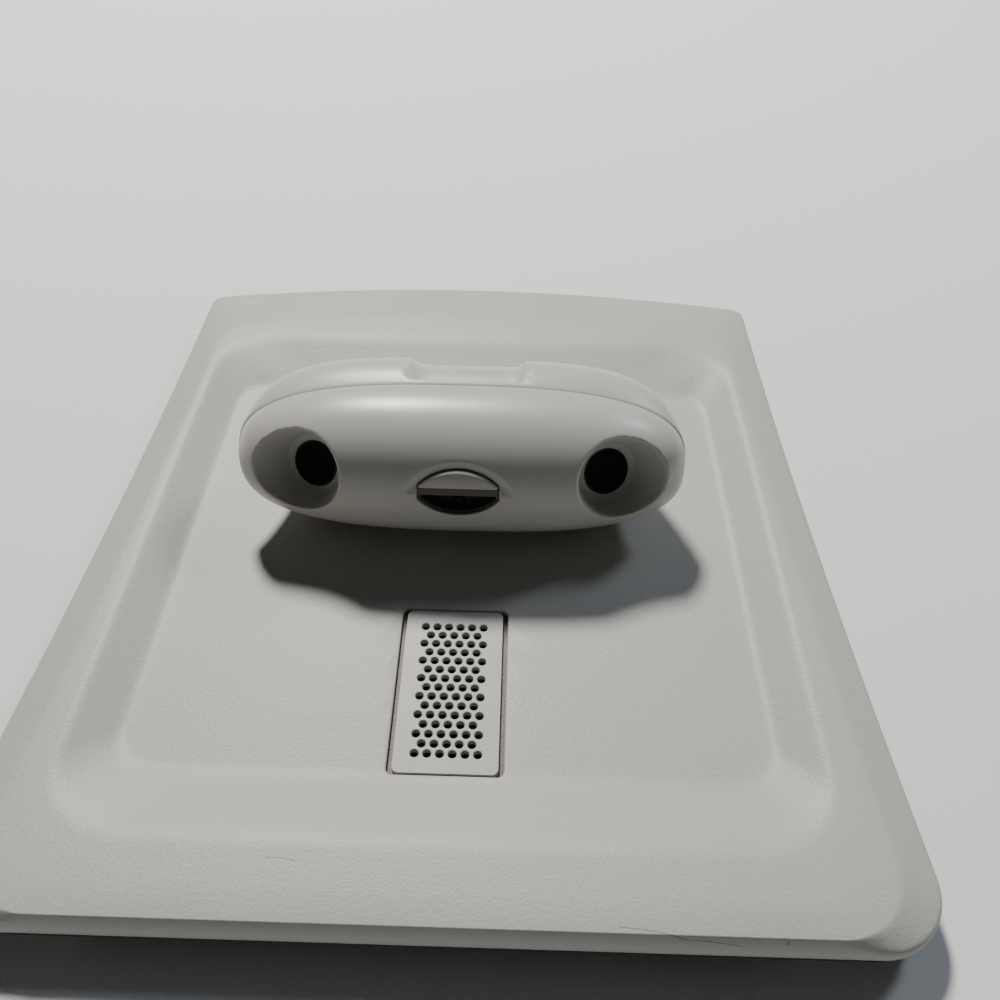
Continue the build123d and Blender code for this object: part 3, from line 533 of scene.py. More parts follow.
paint("edge_seal", seal_shade_finish)


# ---- POD, FRONT SHELL ----
# The pod's front half, moulded in the same plastic with a smooth satin surface: a fat cigar shape with a
# flared well for each transducer, a shallow dish round the push tab, and an eye-shaped aperture below it.
pod_centre = Vector((0, 7.3, 31.2))
pod_tilt = math.radians(28)
pod_half_length, pod_half_height, pod_depth, pod_roundness = 60.5, 20.3, 17.0, 2.8
egg_radius = (pod_half_height**2 + pod_depth**2) / (2 * pod_depth)
pod_frame = Matrix.Translation(pod_centre) @ Matrix.Rotation(math.pi / 2 - pod_tilt, 4, "X")


def egg_reach(x, inset=0.0):
    """Radius of the cigar at a place along it."""
    share = np.clip(np.abs(x) / (pod_half_length - inset), 0, 1)
    return (egg_radius - inset) * (1 - share**pod_roundness) ** (1 / pod_roundness)


def egg_face(x, h):
    """How far the front surface stands out from the seam, at a point on the pod's face."""
    return pod_depth - egg_radius + np.sqrt(np.maximum(egg_reach(x) ** 2 - np.asarray(h) ** 2, 0.01))


def egg_mesh(inset, rings, spokes):
    """The whole cigar, turned about its own long axis, with fine steps towards its ends."""
    along = np.linspace(-math.pi / 2, math.pi / 2, rings)[1:-1]
    loops = []
    for a in along:
        x = (pod_half_length - inset) * math.copysign(abs(math.sin(a)) ** (2 / pod_roundness), math.sin(a))
        r = (egg_radius - inset) * abs(math.cos(a)) ** (2 / pod_roundness)
        round_it = np.linspace(0, 2 * math.pi, spokes + 1)[:-1]
        loops.append([(x, r * math.cos(t), pod_depth - egg_radius + r * math.sin(t)) for t in round_it])
    return loops_mesh("egg", loops)


well_turn, well_floor_radius, well_flare, well_wall = math.radians(20), 8.1, math.radians(23), 1.6
can_radius = 6.4
well_frames = {}
for side, sign in (("left", -1), ("right", 1)):
    floor_centre = Matrix.Translation((sign * 38.9, -1.2, 3.4))
    well_frames[side] = floor_centre @ Matrix.Rotation(sign * well_turn, 4, "Y")


def well_cone(side, radius, low, high):
    """A flared plug on a well's axis, between two distances out from the transducer's face."""
    spread = math.tan(well_flare)
    cone = rod((0, 0), (radius, radius + (high - low) * spread), low, high, 96)
    cone.transform(well_frames[side])
    return cone


front = egg_mesh(0.0, 121, 128)
for side in well_frames:
    front = combined(front, well_cone(side, well_floor_radius, 0, 26), "DIFFERENCE")
rough = bpy.data.objects.new("rough", front)
bpy.context.collection.objects.link(rough)
remesh = rough.modifiers.new("even", "REMESH")
remesh.mode = "VOXEL"
remesh.voxel_size = 0.42
soften = rough.modifiers.new("soften", "SMOOTH")
soften.factor = 0.5
soften.iterations = 9
front = applied(rough)

# the dish round the upper edge of the tab
tab_arc_radius = (10.6**2 + 4.5**2) / (2 * 4.5)
tab_arc_centre = 2.2 - tab_arc_radius
for vertex in front.vertices:
    x, h, d = vertex.co
    if d > 8 and abs(x) < 18 and h > -6:
        off = math.hypot(x, h - tab_arc_centre) - tab_arc_radius
        near = 1 - min(max(off / 2.6, 0), 1)
        low_end = min(max((h + 5.0) / 3.0, 0), 1)
        vertex.co.z -= 0.75 * near * near * (3 - 2 * near) * low_end


def grown(outline, amount):
    """A closed outline moved outwards by an amount."""
    tangent = np.roll(outline, -1, 0) - np.roll(outline, 1, 0)
    normal = np.stack([tangent[:, 1], -tangent[:, 0]], 1)
    normal /= np.linalg.norm(normal, axis=1)[:, None]
    inward = np.sign(np.sum(normal * (outline - outline.mean(0)), axis=1).mean())
    return outline + normal * inward * amount


def arc_through(half_width, end_h, middle_h, steps):
    """Points along a shallow arc from left to right, over or under the middle."""
    rise = middle_h - end_h
    radius = (half_width**2 + rise**2) / (2 * abs(rise))
    centre_h = middle_h - math.copysign(radius, rise)
    reach = math.asin(half_width / radius)
    angles = np.linspace(-reach, reach, steps)
    return np.stack([radius * np.sin(angles), centre_h + math.copysign(1, rise) * radius * np.cos(angles)], 1)


eye = np.concatenate([
    arc_through(10.6, -2.3, 2.2, 80),
    np.stack([np.full(6, 10.6), np.linspace(-2.3, -6.1, 8)[1:-1]], 1),
    arc_through(10.6, -6.1, -11.0, 80)[::-1],
    np.stack([np.full(6, -10.6), np.linspace(-6.1, -2.3, 8)[1:-1]], 1),
])
eye_loops = []
eye_profile = ((0.0, 30.0), (0.0, 0.5), (0.06, 0.26), (0.18, 0.1), (0.36, 0.0), (1.1, -0.5), (1.1, -4.0))
for grow, below in eye_profile:
    outline = grown(eye, grow)
    depth = egg_face(outline[:, 0], outline[:, 1])
    dish = np.clip(1 - (np.hypot(outline[:, 0], outline[:, 1] - tab_arc_centre) - tab_arc_radius) / 2.6, 0, 1)
    dish = 0.75 * dish * dish * (3 - 2 * dish) * np.clip((outline[:, 1] + 5.0) / 3.0, 0, 1)
    level = np.maximum(depth - dish - below, -6.0) if below < 30 else np.full(len(outline), -6.0)
    eye_loops.append([(x, h, d) for (x, h), d in zip(outline, level)])
front = combined(front, loops_mesh("eye", eye_loops), "DIFFERENCE")

# the room inside, leaving the wells' walls standing, and the bores that the transducers look through
room = egg_mesh(2.0, 61, 64)
wall_radius = well_floor_radius + well_wall / math.cos(well_flare) - well_wall * math.tan(well_flare)
for side in well_frames:
    room = combined(room, well_cone(side, wall_radius, -well_wall, 26), "DIFFERENCE")
front = combined(front, room, "DIFFERENCE")
behind = block((-80, -40, -40), (80, 40, 0))
front = combined(front, behind, "DIFFERENCE")
for side in well_frames:
    bore = rod((0, 0), (can_radius + 0.05, can_radius + 0.05), -4, 1.5, 64)
    bore.transform(well_frames[side])
    front = combined(front, bore, "DIFFERENCE")
for face in front.polygons:
    face.use_smooth = True
front.set_sharp_from_angle(angle=math.radians(48))
front.transform(pod_frame)


def satin_of(name, colour, roughness):
    """The pod's plastic: the same colour all through, with a very fine satin texture and faint dust."""
    material, shader = finish_of(name, colour, roughness)
    nodes, links = material.node_tree.nodes, material.node_tree.links
    place = nodes.new("ShaderNodeTexCoord")
    fine = nodes.new("ShaderNodeTexNoise")
    fine.inputs["Scale"].default_value = 2400.0
    fine.inputs["Detail"].default_value = 3.0
    wear = nodes.new("ShaderNodeTexNoise")
    wear.inputs["Scale"].default_value = 60.0
    wear.inputs["Detail"].default_value = 5.0
    for texture in (fine, wear):
        links.new(place.outputs["Object"], texture.inputs["Vector"])
    bump = nodes.new("ShaderNodeBump")
    bump.inputs["Strength"].default_value = 0.12
    bump.inputs["Distance"].default_value = 0.00006
    links.new(fine.outputs["Fac"], bump.inputs["Height"])
    links.new(bump.outputs["Normal"], shader.inputs["Normal"])
    rub = nodes.new("ShaderNodeMapRange")
    rub.inputs["To Min"].default_value = roughness - 0.05
    rub.inputs["To Max"].default_value = roughness + 0.07
    links.new(wear.outputs["Fac"], rub.inputs["Value"])
    links.new(rub.outputs["Result"], shader.inputs["Roughness"])
    return material, shader


front_finish, shader = satin_of("front_satin_plastic", (0.52, 0.51, 0.475), 0.32)
front.materials.clear()
front.materials.append(front_finish)
finished("pod_front_skin", front, "panel", ["pod_front_shell"])


# ---- POD, REAR SHELL ----
# The back half of the pod and the foot it stands on, one moulding. It runs from the seam back and down to
# the tray, and has a shallow scooped notch in its top edge.
def oval_loop(half_x, half_y, roundness, steps=256):
    """A rounded oval as points in order."""
    turn = np.linspace(0, 2 * np.pi, steps + 1)[:-1]
    x = half_x * np.sign(np.cos(turn)) * np.abs(np.cos(turn)) ** (2 / roundness)
    y = half_y * np.sign(np.sin(turn)) * np.abs(np.sin(turn)) ** (2 / roundness)
    return x, y


def rear_loops(inset, base_z, shares):
    """Loops from the seam, round the waist, to the foot, each a mix of the three sections."""
    x, h = oval_loop(pod_half_length - inset, pod_half_height - inset, pod_roundness)
    seam = np.stack([x, pod_centre.y + h * math.sin(pod_tilt), pod_centre.z + h * math.cos(pod_tilt)], 1)
    front_low, back_high = np.array((0.5, 11.5)), np.array((35.0, 42.0))
    middle = (front_low + back_high) / 2
    slope = (back_high - front_low) / np.linalg.norm(back_high - front_low)
    x, h = oval_loop(54.0 - inset, np.linalg.norm(back_high - front_low) / 2 - inset, 3.6)
    waist = np.stack([x, middle[0] + h * slope[0], middle[1] + h * slope[1]], 1)
    x, h = oval_loop(46.0 - inset, 18.5 - inset, pod_roundness)
    foot = np.stack([x, 23.0 + h, np.full(len(x), base_z)], 1)
    loops = []
    for t in shares:
        loops.append(seam * (1 - t) * (1 - 2 * t) + waist * 4 * t * (1 - t) + foot * t * (2 * t - 1))
    return loops


shares = np.concatenate([[0.0, 0.006, 0.012, 0.02], np.linspace(0.03, 1, 46)])
rear_skin = rear_loops(0.0, floor_z, shares)
seam_centre = np.array((0, pod_centre.y, pod_centre.z))
for k, draw_in in ((0, 0.34), (1, 0.10), (2, 0.02)):
    arms = rear_skin[k] - seam_centre
    rear_skin[k] = rear_skin[k] - arms / np.linalg.norm(arms, axis=1)[:, None] * draw_in
seam_normal = np.array((0, -math.cos(pod_tilt), math.sin(pod_tilt)))
seam_up = np.array((0, math.sin(pod_tilt), math.cos(pod_tilt)))
for loop in rear_skin:
    behind_seam = -(loop - seam_centre) @ seam_normal
    height = (loop - seam_centre) @ seam_up
    start = np.clip((behind_seam - 1.2) / 1.8, 0, 1)
    end = 1 - np.clip((behind_seam - 17.0) / 5.0, 0, 1)
    shoulder = np.clip((15.0 - np.abs(loop[:, 0] - 1.3)) / 3.0, 0, 1)
    scoop = np.sqrt(np.clip(1 - (1 - shoulder) ** 2, 0, 1))
    upper = np.clip((height - 6) / 6, 0, 1)
    loop -= seam_up * (2.0 * start * start * (3 - 2 * start) * end * scoop * upper)[:, None]
rear = loops_mesh("rear", rear_skin)
rear_room = loops_mesh("rear_room", rear_loops(2.2, floor_z + 2.0, np.linspace(-0.02, 1, 20)))
rear = combined(rear, rear_room, "DIFFERENCE")
rear = combined(rear, block((-11.15, 17.35, 5), (11.15, 26.65, 12)), "DIFFERENCE")
for x in (-30.0, 30.0):
    for y in (13.0, 32.5):
        rear = combined(rear, rod((x, y), 3.5, floor_z + 1.0, floor_z + 6.5), "UNION")
        rear = combined(rear, rod((x, y), 1.4, floor_z - 2, floor_z + 5.5), "DIFFERENCE")
for face in rear.polygons:
    face.use_smooth = True
rear.set_sharp_from_angle(angle=math.radians(40))
rear_finish, shader = satin_of("rear_satin_plastic", (0.53, 0.52, 0.49), 0.36)
rear.materials.clear()
rear.materials.append(rear_finish)
finished("pod_rear_skin", rear, "panel", ["pod_rear_shell"])


# ---- PUSH TAB ----
# The half-moon key above the slot, of the same plastic. It stands slightly proud with a rounded upper edge,
# slides in along the pod's own axis against a spring, and a flange behind the shell keeps it in.
tab_arc = arc_through(10.3, -2.42, 1.9, 90)
tab_base = np.stack([np.linspace(10.3, -10.3, 60)[1:-1], np.full(58, -3.2)], 1)
tab_side_right = np.array([[10.3, -2.9]])
tab_side_left = np.array([[-10.3, -2.9]])
moon = np.concatenate([tab_arc, tab_side_right, tab_base, tab_side_left])
moon_middle = np.array((0.0, -1.6))
moon_loops = []
tab_round = 0.75
flange_top = pod_depth - 2.0 - 0.8
proud = 0.28
edge_share = np.array((0.075, 0.24))


def tab_face(points, drop):
    """The tab's face stands proud of the pod's surface and leans in towards its straight edge."""
    lean = 0.55 * np.clip((-points[:, 1] + 0.6) / 3.8, 0, 1) ** 2
    return egg_face(points[:, 0], points[:, 1]) + proud - lean - drop


moon_loops.append([(x, h, flange_top - 0.6) for x, h in moon])
for lift in (0, 18, 36, 54, 72, 90):
    angle = math.radians(lift)
    inset = moon + (moon_middle - moon) * edge_share * (1 - math.cos(angle))
    depth = tab_face(inset, tab_round * (1 - math.sin(angle)))
    moon_loops.append([(x, h, d) for (x, h), d in zip(inset, depth)])
rounded_moon = moon + (moon_middle - moon) * edge_share
for share in (0.2, 0.4, 0.6, 0.8, 0.97):
    shrunk = rounded_moon if share < 0.9 else inset
    inset = moon_middle + (shrunk - moon_middle) * (1 - share)
    moon_loops.append([(x, h, d) for (x, h), d in zip(inset, tab_face(inset, 0.0))])
tab = loops_mesh("tab", moon_loops)
flange_half, flange_low, flange_rise = 11.4, -3.2, 3.0
base_x = np.linspace(flange_half, -flange_half, 30)[1:-1]
flange_base = np.stack([base_x, np.full(len(base_x), flange_low)], 1)
flange_outline = np.concatenate([arc_through(flange_half, flange_low, flange_rise, 60), flange_base])
flange_levels = (flange_top - 1.2, flange_top)
flange = loops_mesh("flange", [[(x, h, d) for x, h in flange_outline] for d in flange_levels])
tab = combined(tab, flange, "UNION")
tab = combined(tab, rod((0, -0.7), 1.8, 0.5, flange_top - 0.5), "UNION")
for face in tab.polygons:
    face.use_smooth = True
tab.set_sharp_from_angle(angle=math.radians(50))
tab.transform(pod_frame)
tab_finish, shader = satin_of("tab_satin_plastic", (0.47, 0.46, 0.42), 0.38)
tab.materials.clear()
tab.materials.append(tab_finish)
finished("push_tab_key", tab, "tab", ["push_tab"])


# ---- SWITCH PLUNGER ----
# The small black pin of the board's switch, which the tab's stem presses. It moves with the tab.
plunger_finish, shader = finish_of("plunger_black", (0.03, 0.03, 0.03), 0.5)
paint("switch_plunger", plunger_finish)


# ---- SLOT LINER AND STATUS LAMP ----
# A dark moulded pocket behind the aperture: a recessed bar under the tab, and below it a black slot
# with a small red lamp at the back of it.
bar_finish, shader = satin_of("liner_plastic", (0.10, 0.09, 0.078), 0.5)
paint("slot_liner", bar_finish)
# the lamp's lens is coloured near black: painted shade, so that it stays lost in the dark at the back of the
# slot instead of showing its own red
lamp_shade_finish, shader = finish_of("lamp_lens_painted_shade", (0.004, 0.003, 0.003), 0.7)
paint("status_led", lamp_shade_finish)


# ---- TRANSDUCER FACES ----
# Each ultrasonic transducer is an open aluminium can with a fine woven-wire mesh across its mouth. The
# wires run both ways, over and under each other, and are blacked so that only their tops glint.
def woven_tree():
    """A round patch of woven wire: rows of wavy wires in two directions, each cut to the circle."""
    tree = bpy.data.node_groups.new("woven_mesh", "GeometryNodeTree")
    for name, kind, value in (
        ("Radius", "NodeSocketFloat", 5.7),
        ("Pitch", "NodeSocketFloat", 0.55),
        ("Wire", "NodeSocketFloat", 0.13),
        ("Finish", "NodeSocketMaterial", None),
    ):
        socket = tree.interface.new_socket(name=name, in_out="INPUT", socket_type=kind)
        if value is not None:
            socket.default_value = value
    tree.interface.new_socket(name="Geometry", in_out="OUTPUT", socket_type="NodeSocketGeometry")
    nodes, links = tree.nodes, tree.links
    given = nodes.new("NodeGroupInput")
    out = nodes.new("NodeGroupOutput")

    maths = maths_in(tree)

    span = maths("MULTIPLY", given.outputs["Radius"], 2.0)
    count = maths("FLOOR", maths("DIVIDE", span, given.outputs["Pitch"]))
    join = nodes.new("GeometryNodeJoinGeometry")
    for direction in (0, 1):
        wire = nodes.new("GeometryNodeMeshLine")
        wire.mode = "END_POINTS"
        wire.inputs["Count"].default_value = 90
        wire.inputs["Start Location"].default_value = (-1, 0, 0)
        wire.inputs["Offset"].default_value = (1, 0, 0)
        rows = nodes.new("GeometryNodeMeshLine")
        rows.mode = "OFFSET"
        links.new(count, rows.inputs["Count"])
        first = nodes.new("ShaderNodeCombineXYZ")
        half_count = maths("MULTIPLY", maths("SUBTRACT", count, 1.0), -0.5)
        links.new(maths("MULTIPLY", half_count, given.outputs["Pitch"]), first.inputs["Y"])
        step = nodes.new("ShaderNodeCombineXYZ")
        links.new(given.outputs["Pitch"], step.inputs["Y"])
        links.new(first.outputs["Vector"], rows.inputs["Start Location"])
        links.new(step.outputs["Vector"], rows.inputs["Offset"])
        where = nodes.new("GeometryNodeInputPosition")
        parts = nodes.new("ShaderNodeSeparateXYZ")
        links.new(where.outputs["Position"], parts.inputs["Vector"])
        radius_squared = maths("MULTIPLY", given.outputs["Radius"], given.outputs["Radius"])
        offset_squared = maths("MULTIPLY", parts.outputs["Y"], parts.outputs["Y"])
        square = maths("SUBTRACT", radius_squared, offset_squared)
        chord = maths("SQRT", maths("MAXIMUM", square, 0.0))
        length = nodes.new("ShaderNodeCombineXYZ")
        links.new(chord, length.inputs["X"])
        length.inputs["Y"].default_value = 1.0
        length.inputs["Z"].default_value = 1.0
        placed = nodes.new("GeometryNodeInstanceOnPoints")
        links.new(rows.outputs["Mesh"], placed.inputs["Points"])
        links.new(wire.outputs["Mesh"], placed.inputs["Instance"])
        links.new(length.outputs["Vector"], placed.inputs["Scale"])
        real = nodes.new("GeometryNodeRealizeInstances")
        links.new(placed.outputs["Instances"], real.inputs["Geometry"])
        spot = nodes.new("GeometryNodeInputPosition")
        axes = nodes.new("ShaderNodeSeparateXYZ")
        links.new(spot.outputs["Position"], axes.inputs["Vector"])
        crossing = maths("DIVIDE", axes.outputs["X"], given.outputs["Pitch"])
        own_row = maths("ROUND", maths("DIVIDE", axes.outputs["Y"], given.outputs["Pitch"]))
        phase = maths("MULTIPLY", maths("ADD", maths("ADD", crossing, own_row), 1.0 * direction), math.pi)
        height = maths("MULTIPLY", maths("COSINE", phase), maths("MULTIPLY", given.outputs["Wire"], 0.5))
        lift = nodes.new("ShaderNodeCombineXYZ")
        links.new(height, lift.inputs["Z"])
        moved = nodes.new("GeometryNodeSetPosition")
        links.new(real.outputs["Geometry"], moved.inputs["Geometry"])
        links.new(lift.outputs["Vector"], moved.inputs["Offset"])
        curve = nodes.new("GeometryNodeMeshToCurve")
        links.new(moved.outputs["Geometry"], curve.inputs["Mesh"])
        section = nodes.new("GeometryNodeCurvePrimitiveCircle")
        section.inputs["Resolution"].default_value = 6
        links.new(maths("MULTIPLY", given.outputs["Wire"], 0.5), section.inputs["Radius"])
        tube = nodes.new("GeometryNodeCurveToMesh")
        tube.inputs["Fill Caps"].default_value = True
        links.new(curve.outputs["Curve"], tube.inputs["Curve"])
        links.new(section.outputs["Curve"], tube.inputs["Profile Curve"])
        turned = nodes.new("GeometryNodeTransform")
        turned.inputs["Rotation"].default_value = (0, 0, math.pi / 2 * direction)
        links.new(tube.outputs["Mesh"], turned.inputs["Geometry"])
        links.new(turned.outputs["Geometry"], join.inputs["Geometry"])
    final = nodes.new("GeometryNodeRealizeInstances")
    links.new(join.outputs["Geometry"], final.inputs["Geometry"])
    paint = nodes.new("GeometryNodeSetMaterial")
    links.new(final.outputs["Geometry"], paint.inputs["Geometry"])
    links.new(given.outputs["Finish"], paint.inputs["Material"])
    links.new(paint.outputs["Geometry"], out.inputs["Geometry"])
    return tree


wire_finish, shader = finish_of("blacked_wire", (0.07, 0.066, 0.06), 0.3, 0.85)
backing_finish, shader = finish_of("dark_gauze", (0.006, 0.006, 0.006), 0.8)
woven = woven_tree()


def worked(tree, values):
    """The mesh that a node tree makes from its named inputs."""
    holder = bpy.data.objects.new("holder", bpy.data.meshes.new("holder"))
    bpy.context.collection.objects.link(holder)
    step = holder.modifiers.new("tree", "NODES")
    step.node_group = tree
    for item in tree.interface.items_tree:
        if item.item_type == "SOCKET" and item.in_out == "INPUT" and item.name in values:
            step[item.identifier] = values[item.name]
    return applied(holder)


for side in well_frames:
    weave = worked(woven, {"Radius": 5.7, "Pitch": 0.62, "Wire": 0.16, "Finish": wire_finish})
    weave.transform(Matrix.Translation((0, 0, -0.12)))
    gauze = rod((0, 0), 5.75, -0.42, -0.34, 48)
    gauze.materials.append(backing_finish)
    work = bmesh.new()
    work.from_mesh(weave)
    kept = len(work.faces)
    work.from_mesh(gauze)
    work.faces.ensure_lookup_table()
    for face in work.faces[kept:]:
        face.material_index = 1
    for face in work.faces[:kept]:
        face.smooth = True
    face_mesh = bpy.data.meshes.new("transducer_face")
    work.to_mesh(face_mesh)
    work.free()
    face_mesh.materials.append(wire_finish)
    face_mesh.materials.append(backing_finish)
    face_mesh.transform(pod_frame @ well_frames[side])
    finished(f"transducer_weave_{side}", face_mesh, "panel", [f"transducer_mesh_{side}"])


# ---- TRANSDUCER BODIES ----
# Behind each mesh: a black anodised can, a plastic base, a piezo disc on a post with its light metal
# cone, two pins, and a rubber boot that holds the can in its tube.
can_finish, shader = finish_of("can_anodised", (0.016, 0.016, 0.016), 0.34, 0.7)
base_finish, shader = finish_of("base_plastic", (0.03, 0.03, 0.03), 0.6)
piezo_finish, shader = finish_of("piezo_ceramic", (0.62, 0.55, 0.42), 0.55)
cone_finish, shader = finish_of("cone_aluminium", (0.62, 0.62, 0.63), 0.35, 1.0)
boot_finish, shader = finish_of("boot_rubber", (0.022, 0.022, 0.022), 0.75)
pin_finish, shader = finish_of("tinned_pin", (0.66, 0.64, 0.60), 0.3, 1.0)
for piece, finish in (
    ("can", can_finish),
    ("base", base_finish),
    ("piezo", piezo_finish),
    ("cone", cone_finish),
    ("boot", boot_finish),
    ("pins", pin_finish),
):
    for side in well_frames:
        paint(f"transducer_{piece}_{side}", finish)


# ---- BOARD AND ITS PARTS ----
# The green circuit board across the inside of the pod, with its driver coils, controller, crystal and
# small parts, the tab's switch, the lamp's leads, and two screws into the front shell's posts.
board_finish, shader = finish_of("solder_mask", (0.012, 0.09, 0.035), 0.3)
nodes, links = board_finish.node_tree.nodes, board_finish.node_tree.links
place = nodes.new("ShaderNodeTexCoord")
tracks = nodes.new("ShaderNodeTexVoronoi")
tracks.distance = "CHEBYCHEV"
tracks.inputs["Scale"].default_value = 260.0
links.new(place.outputs["Object"], tracks.inputs["Vector"])
copper = nodes.new("ShaderNodeMix")
copper.data_type = "RGBA"
copper.inputs["A"].default_value = (0.02, 0.13, 0.05, 1)
copper.inputs["B"].default_value = (0.012, 0.085, 0.032, 1)
links.new(tracks.outputs["Distance"], copper.inputs["Factor"])
links.new(copper.outputs["Result"], shader.inputs["Base Color"])
coil_finish, shader = finish_of("coil_wrap", (0.025, 0.025, 0.027), 0.35)
chip_finish, shader = finish_of("chip_epoxy", (0.02, 0.02, 0.02), 0.55)
crystal_finish, shader = finish_of("crystal_can", (0.6, 0.6, 0.6), 0.25, 1.0)
small_finish, shader = finish_of("small_part_body", (0.28, 0.2, 0.13), 0.5)
switch_finish, shader = finish_of("switch_case", (0.035, 0.035, 0.035), 0.5)
screw_finish, shader = finish_of("zinc_plate", (0.55, 0.55, 0.54), 0.3, 1.0)
for node, finish in (
    ("sensor_board", board_finish),
    ("driver_coils", coil_finish),
    ("controller_chip", chip_finish),
    ("crystal", crystal_finish),
    ("board_components", small_finish),
    ("tab_switch", switch_finish),
    ("led_leads", pin_finish),
    ("board_screws", screw_finish),
    ("connector_pins", pin_finish),
    ("microphone_pins", pin_finish),
    ("pod_screws", screw_finish),
    ("holder_screws", screw_finish),
):
    paint(node, finish)


# ---- CONNECTOR ----
# The black plug socket in the pod's foot. The vehicle's plug comes up into it through the tray floor.
header_finish, shader = satin_of("header_nylon", (0.03, 0.03, 0.031), 0.5)
paint("connector_header", header_finish)


# ---- INSERTS ----
# Four knurled brass inserts pressed into the panel's bosses, for the screws that hold it up.
brass_finish, shader = finish_of("knurled_brass", (0.62, 0.43, 0.17), 0.32, 1.0)
paint("threaded_inserts", brass_finish)


# ---- MICROPHONE GRILLE ----
# A flat plate of lighter plastic with a staggered field of round holes, sitting in its slot flush with
# the tray floor. It is cut by a node tree, so that its holes can be re-spaced.
countersink_out, countersink_in, countersink_depth = 0.45, 0.15, 0.3


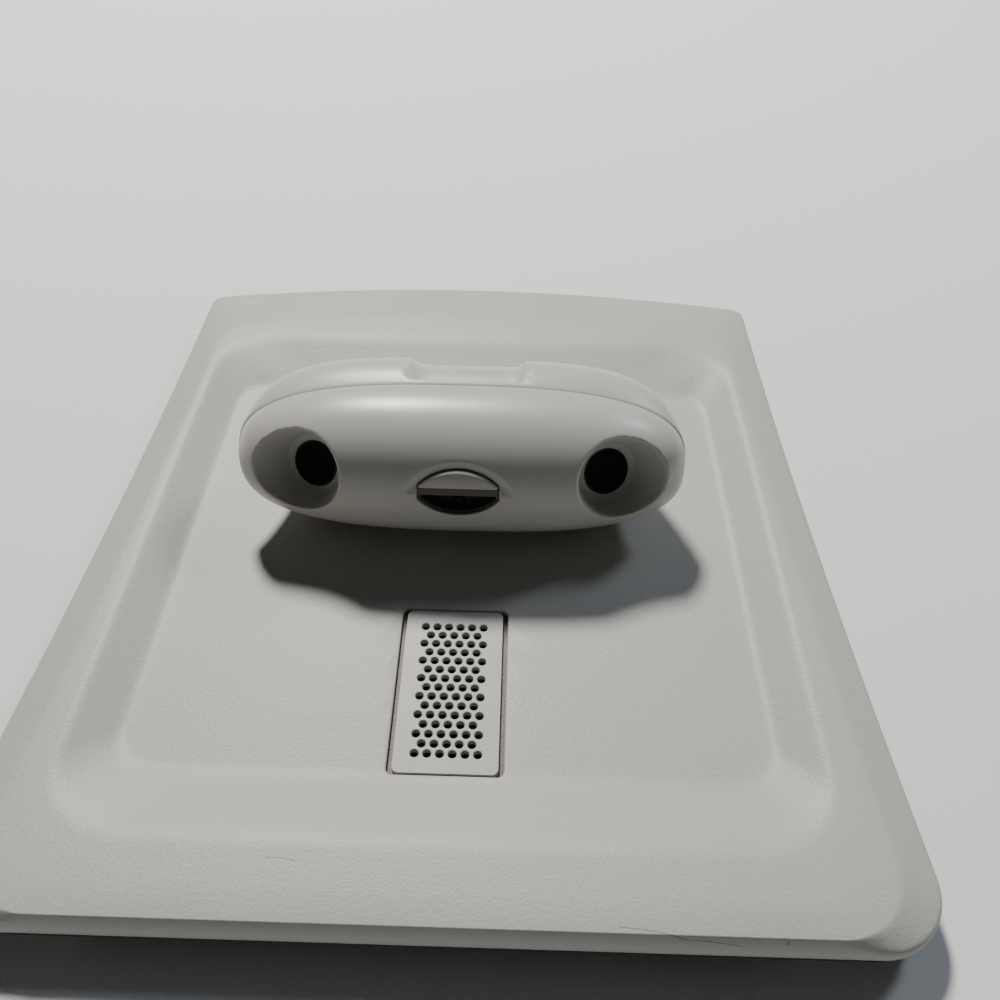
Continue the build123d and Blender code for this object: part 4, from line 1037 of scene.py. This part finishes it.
def grille_tree():
    """A rounded plate with staggered rows of slightly countersunk holes."""
    tree = bpy.data.node_groups.new("perforated_plate", "GeometryNodeTree")
    for name, kind, value in (
        ("Half Width", "NodeSocketFloat", 12.45),
        ("Half Length", "NodeSocketFloat", 23.2),
        ("Thickness", "NodeSocketFloat", 1.6),
        ("Corner", "NodeSocketFloat", 1.6),
        ("Pitch", "NodeSocketFloat", 3.0),
        ("Hole", "NodeSocketFloat", 1.05),
        ("Rows", "NodeSocketInt", 15),
        ("Columns", "NodeSocketInt", 6),
        ("Finish", "NodeSocketMaterial", None),
    ):
        socket = tree.interface.new_socket(name=name, in_out="INPUT", socket_type=kind)
        if value is not None:
            socket.default_value = value
    tree.interface.new_socket(name="Geometry", in_out="OUTPUT", socket_type="NodeSocketGeometry")
    nodes, links = tree.nodes, tree.links
    given = nodes.new("NodeGroupInput")
    out = nodes.new("NodeGroupOutput")

    maths = maths_in(tree)

    def oblong():
        """The plate's rounded outline."""
        outline = nodes.new("GeometryNodeCurvePrimitiveQuadrilateral")
        links.new(maths("MULTIPLY", given.outputs["Half Width"], 2.0), outline.inputs["Width"])
        links.new(maths("MULTIPLY", given.outputs["Half Length"], 2.0), outline.inputs["Height"])
        rounding = nodes.new("GeometryNodeFilletCurve")
        rounding.mode = "POLY"
        rounding.inputs["Count"].default_value = 10
        links.new(outline.outputs["Curve"], rounding.inputs["Curve"])
        links.new(given.outputs["Corner"], rounding.inputs["Radius"])
        return rounding.outputs["Curve"]

    def slab(curve, thickness):
        """A closed slab standing on a filled outline."""
        fill = nodes.new("GeometryNodeFillCurve")
        fill.mode = "NGONS"
        links.new(curve, fill.inputs["Curve"])
        flip = nodes.new("GeometryNodeFlipFaces")
        links.new(fill.outputs["Mesh"], flip.inputs["Mesh"])
        solid = nodes.new("GeometryNodeExtrudeMesh")
        solid.mode = "FACES"
        solid.inputs["Individual"].default_value = False
        direction = nodes.new("ShaderNodeCombineXYZ")
        links.new(thickness, direction.inputs["Z"])
        links.new(fill.outputs["Mesh"], solid.inputs["Mesh"])
        links.new(direction.outputs["Vector"], solid.inputs["Offset"])
        closed = nodes.new("GeometryNodeJoinGeometry")
        links.new(solid.outputs["Mesh"], closed.inputs["Geometry"])
        links.new(flip.outputs["Mesh"], closed.inputs["Geometry"])
        weld = nodes.new("GeometryNodeMergeByDistance")
        weld.inputs["Distance"].default_value = 0.001
        links.new(closed.outputs["Geometry"], weld.inputs["Geometry"])
        return weld.outputs["Geometry"]

    plate = slab(oblong(), given.outputs["Thickness"])
    cutters = nodes.new("GeometryNodeJoinGeometry")
    row_pitch = maths("MULTIPLY", given.outputs["Pitch"], math.sin(math.radians(60)))
    even_rows = maths("CEIL", maths("DIVIDE", given.outputs["Rows"], 2.0))
    odd_rows = maths("FLOOR", maths("DIVIDE", given.outputs["Rows"], 2.0))
    odd_columns = maths("SUBTRACT", given.outputs["Columns"], 1.0)
    for rows, columns in ((even_rows, given.outputs["Columns"]), (odd_rows, odd_columns)):
        field = nodes.new("GeometryNodeMeshGrid")
        width = maths("MULTIPLY", maths("SUBTRACT", columns, 1.0), given.outputs["Pitch"])
        length = maths("MULTIPLY", maths("SUBTRACT", rows, 1.0), maths("MULTIPLY", row_pitch, 2.0))
        links.new(width, field.inputs["Size X"])
        links.new(length, field.inputs["Size Y"])
        links.new(columns, field.inputs["Vertices X"])
        links.new(rows, field.inputs["Vertices Y"])
        barrel = nodes.new("GeometryNodeMeshCone")
        barrel.inputs["Vertices"].default_value = 28
        barrel.inputs["Depth"].default_value = 6.0
        links.new(given.outputs["Hole"], barrel.inputs["Radius Top"])
        links.new(given.outputs["Hole"], barrel.inputs["Radius Bottom"])
        sunk = nodes.new("GeometryNodeTransform")
        sunk.inputs["Translation"].default_value = (0, 0, -2.0)
        links.new(barrel.outputs["Mesh"], sunk.inputs["Geometry"])
        flared = nodes.new("GeometryNodeMeshCone")
        flared.inputs["Vertices"].default_value = 28
        flared.inputs["Depth"].default_value = 0.6
        links.new(maths("ADD", given.outputs["Hole"], countersink_out), flared.inputs["Radius Top"])
        links.new(maths("SUBTRACT", given.outputs["Hole"], countersink_in), flared.inputs["Radius Bottom"])
        at_top = nodes.new("GeometryNodeTransform")
        top_shift = nodes.new("ShaderNodeCombineXYZ")
        links.new(maths("SUBTRACT", given.outputs["Thickness"], countersink_depth), top_shift.inputs["Z"])
        links.new(top_shift.outputs["Vector"], at_top.inputs["Translation"])
        links.new(flared.outputs["Mesh"], at_top.inputs["Geometry"])
        for shape in (sunk, at_top):
            placed = nodes.new("GeometryNodeInstanceOnPoints")
            links.new(field.outputs["Mesh"], placed.inputs["Points"])
            links.new(shape.outputs["Geometry"], placed.inputs["Instance"])
            real = nodes.new("GeometryNodeRealizeInstances")
            links.new(placed.outputs["Instances"], real.inputs["Geometry"])
            links.new(real.outputs["Geometry"], cutters.inputs["Geometry"])
    cut = nodes.new("GeometryNodeMeshBoolean")
    cut.operation = "DIFFERENCE"
    cut.solver = "EXACT"
    cut.inputs["Self Intersection"].default_value = True
    links.new(plate, cut.inputs["Mesh 1"])
    links.new(cutters.outputs["Geometry"], cut.inputs["Mesh 2"])
    final = nodes.new("GeometryNodeRealizeInstances")
    links.new(cut.outputs["Mesh"], final.inputs["Geometry"])
    paint = nodes.new("GeometryNodeSetMaterial")
    links.new(final.outputs["Geometry"], paint.inputs["Geometry"])
    links.new(given.outputs["Finish"], paint.inputs["Material"])
    links.new(paint.outputs["Geometry"], out.inputs["Geometry"])
    return tree


grille_finish, shader = satin_of("grille_plastic", (0.46, 0.455, 0.425), 0.46)
plate = worked(grille_tree(), {"Finish": grille_finish})
plate.transform(Matrix.Translation((0, grille_y, ledge_z)))
finished("grille_plate", plate, "panel", ["grille_insert"])


# ---- MICROPHONE ----
# Behind the grille: a thin black felt, then the holder box with its two ears screwed under the tray
# floor, and in it the microphone capsule in a rubber ring.
felt_finish, shader = finish_of("acoustic_felt_black", (0.012, 0.011, 0.01), 0.95)
nodes, links = felt_finish.node_tree.nodes, felt_finish.node_tree.links
place = nodes.new("ShaderNodeTexCoord")
fibres = nodes.new("ShaderNodeTexNoise")
fibres.inputs["Scale"].default_value = 3000.0
fibres.inputs["Detail"].default_value = 6.0
links.new(place.outputs["Object"], fibres.inputs["Vector"])
bump = nodes.new("ShaderNodeBump")
bump.inputs["Strength"].default_value = 0.8
bump.inputs["Distance"].default_value = 0.0002
links.new(fibres.outputs["Fac"], bump.inputs["Height"])
links.new(bump.outputs["Normal"], shader.inputs["Normal"])
capsule_finish, shader = finish_of("capsule_aluminium", (0.5, 0.5, 0.5), 0.35, 1.0)
for node, finish in (
    ("acoustic_felt", felt_finish),
    ("microphone_holder", header_finish),
    ("microphone_ring", boot_finish),
    ("microphone_capsule", capsule_finish),
):
    paint(node, finish)
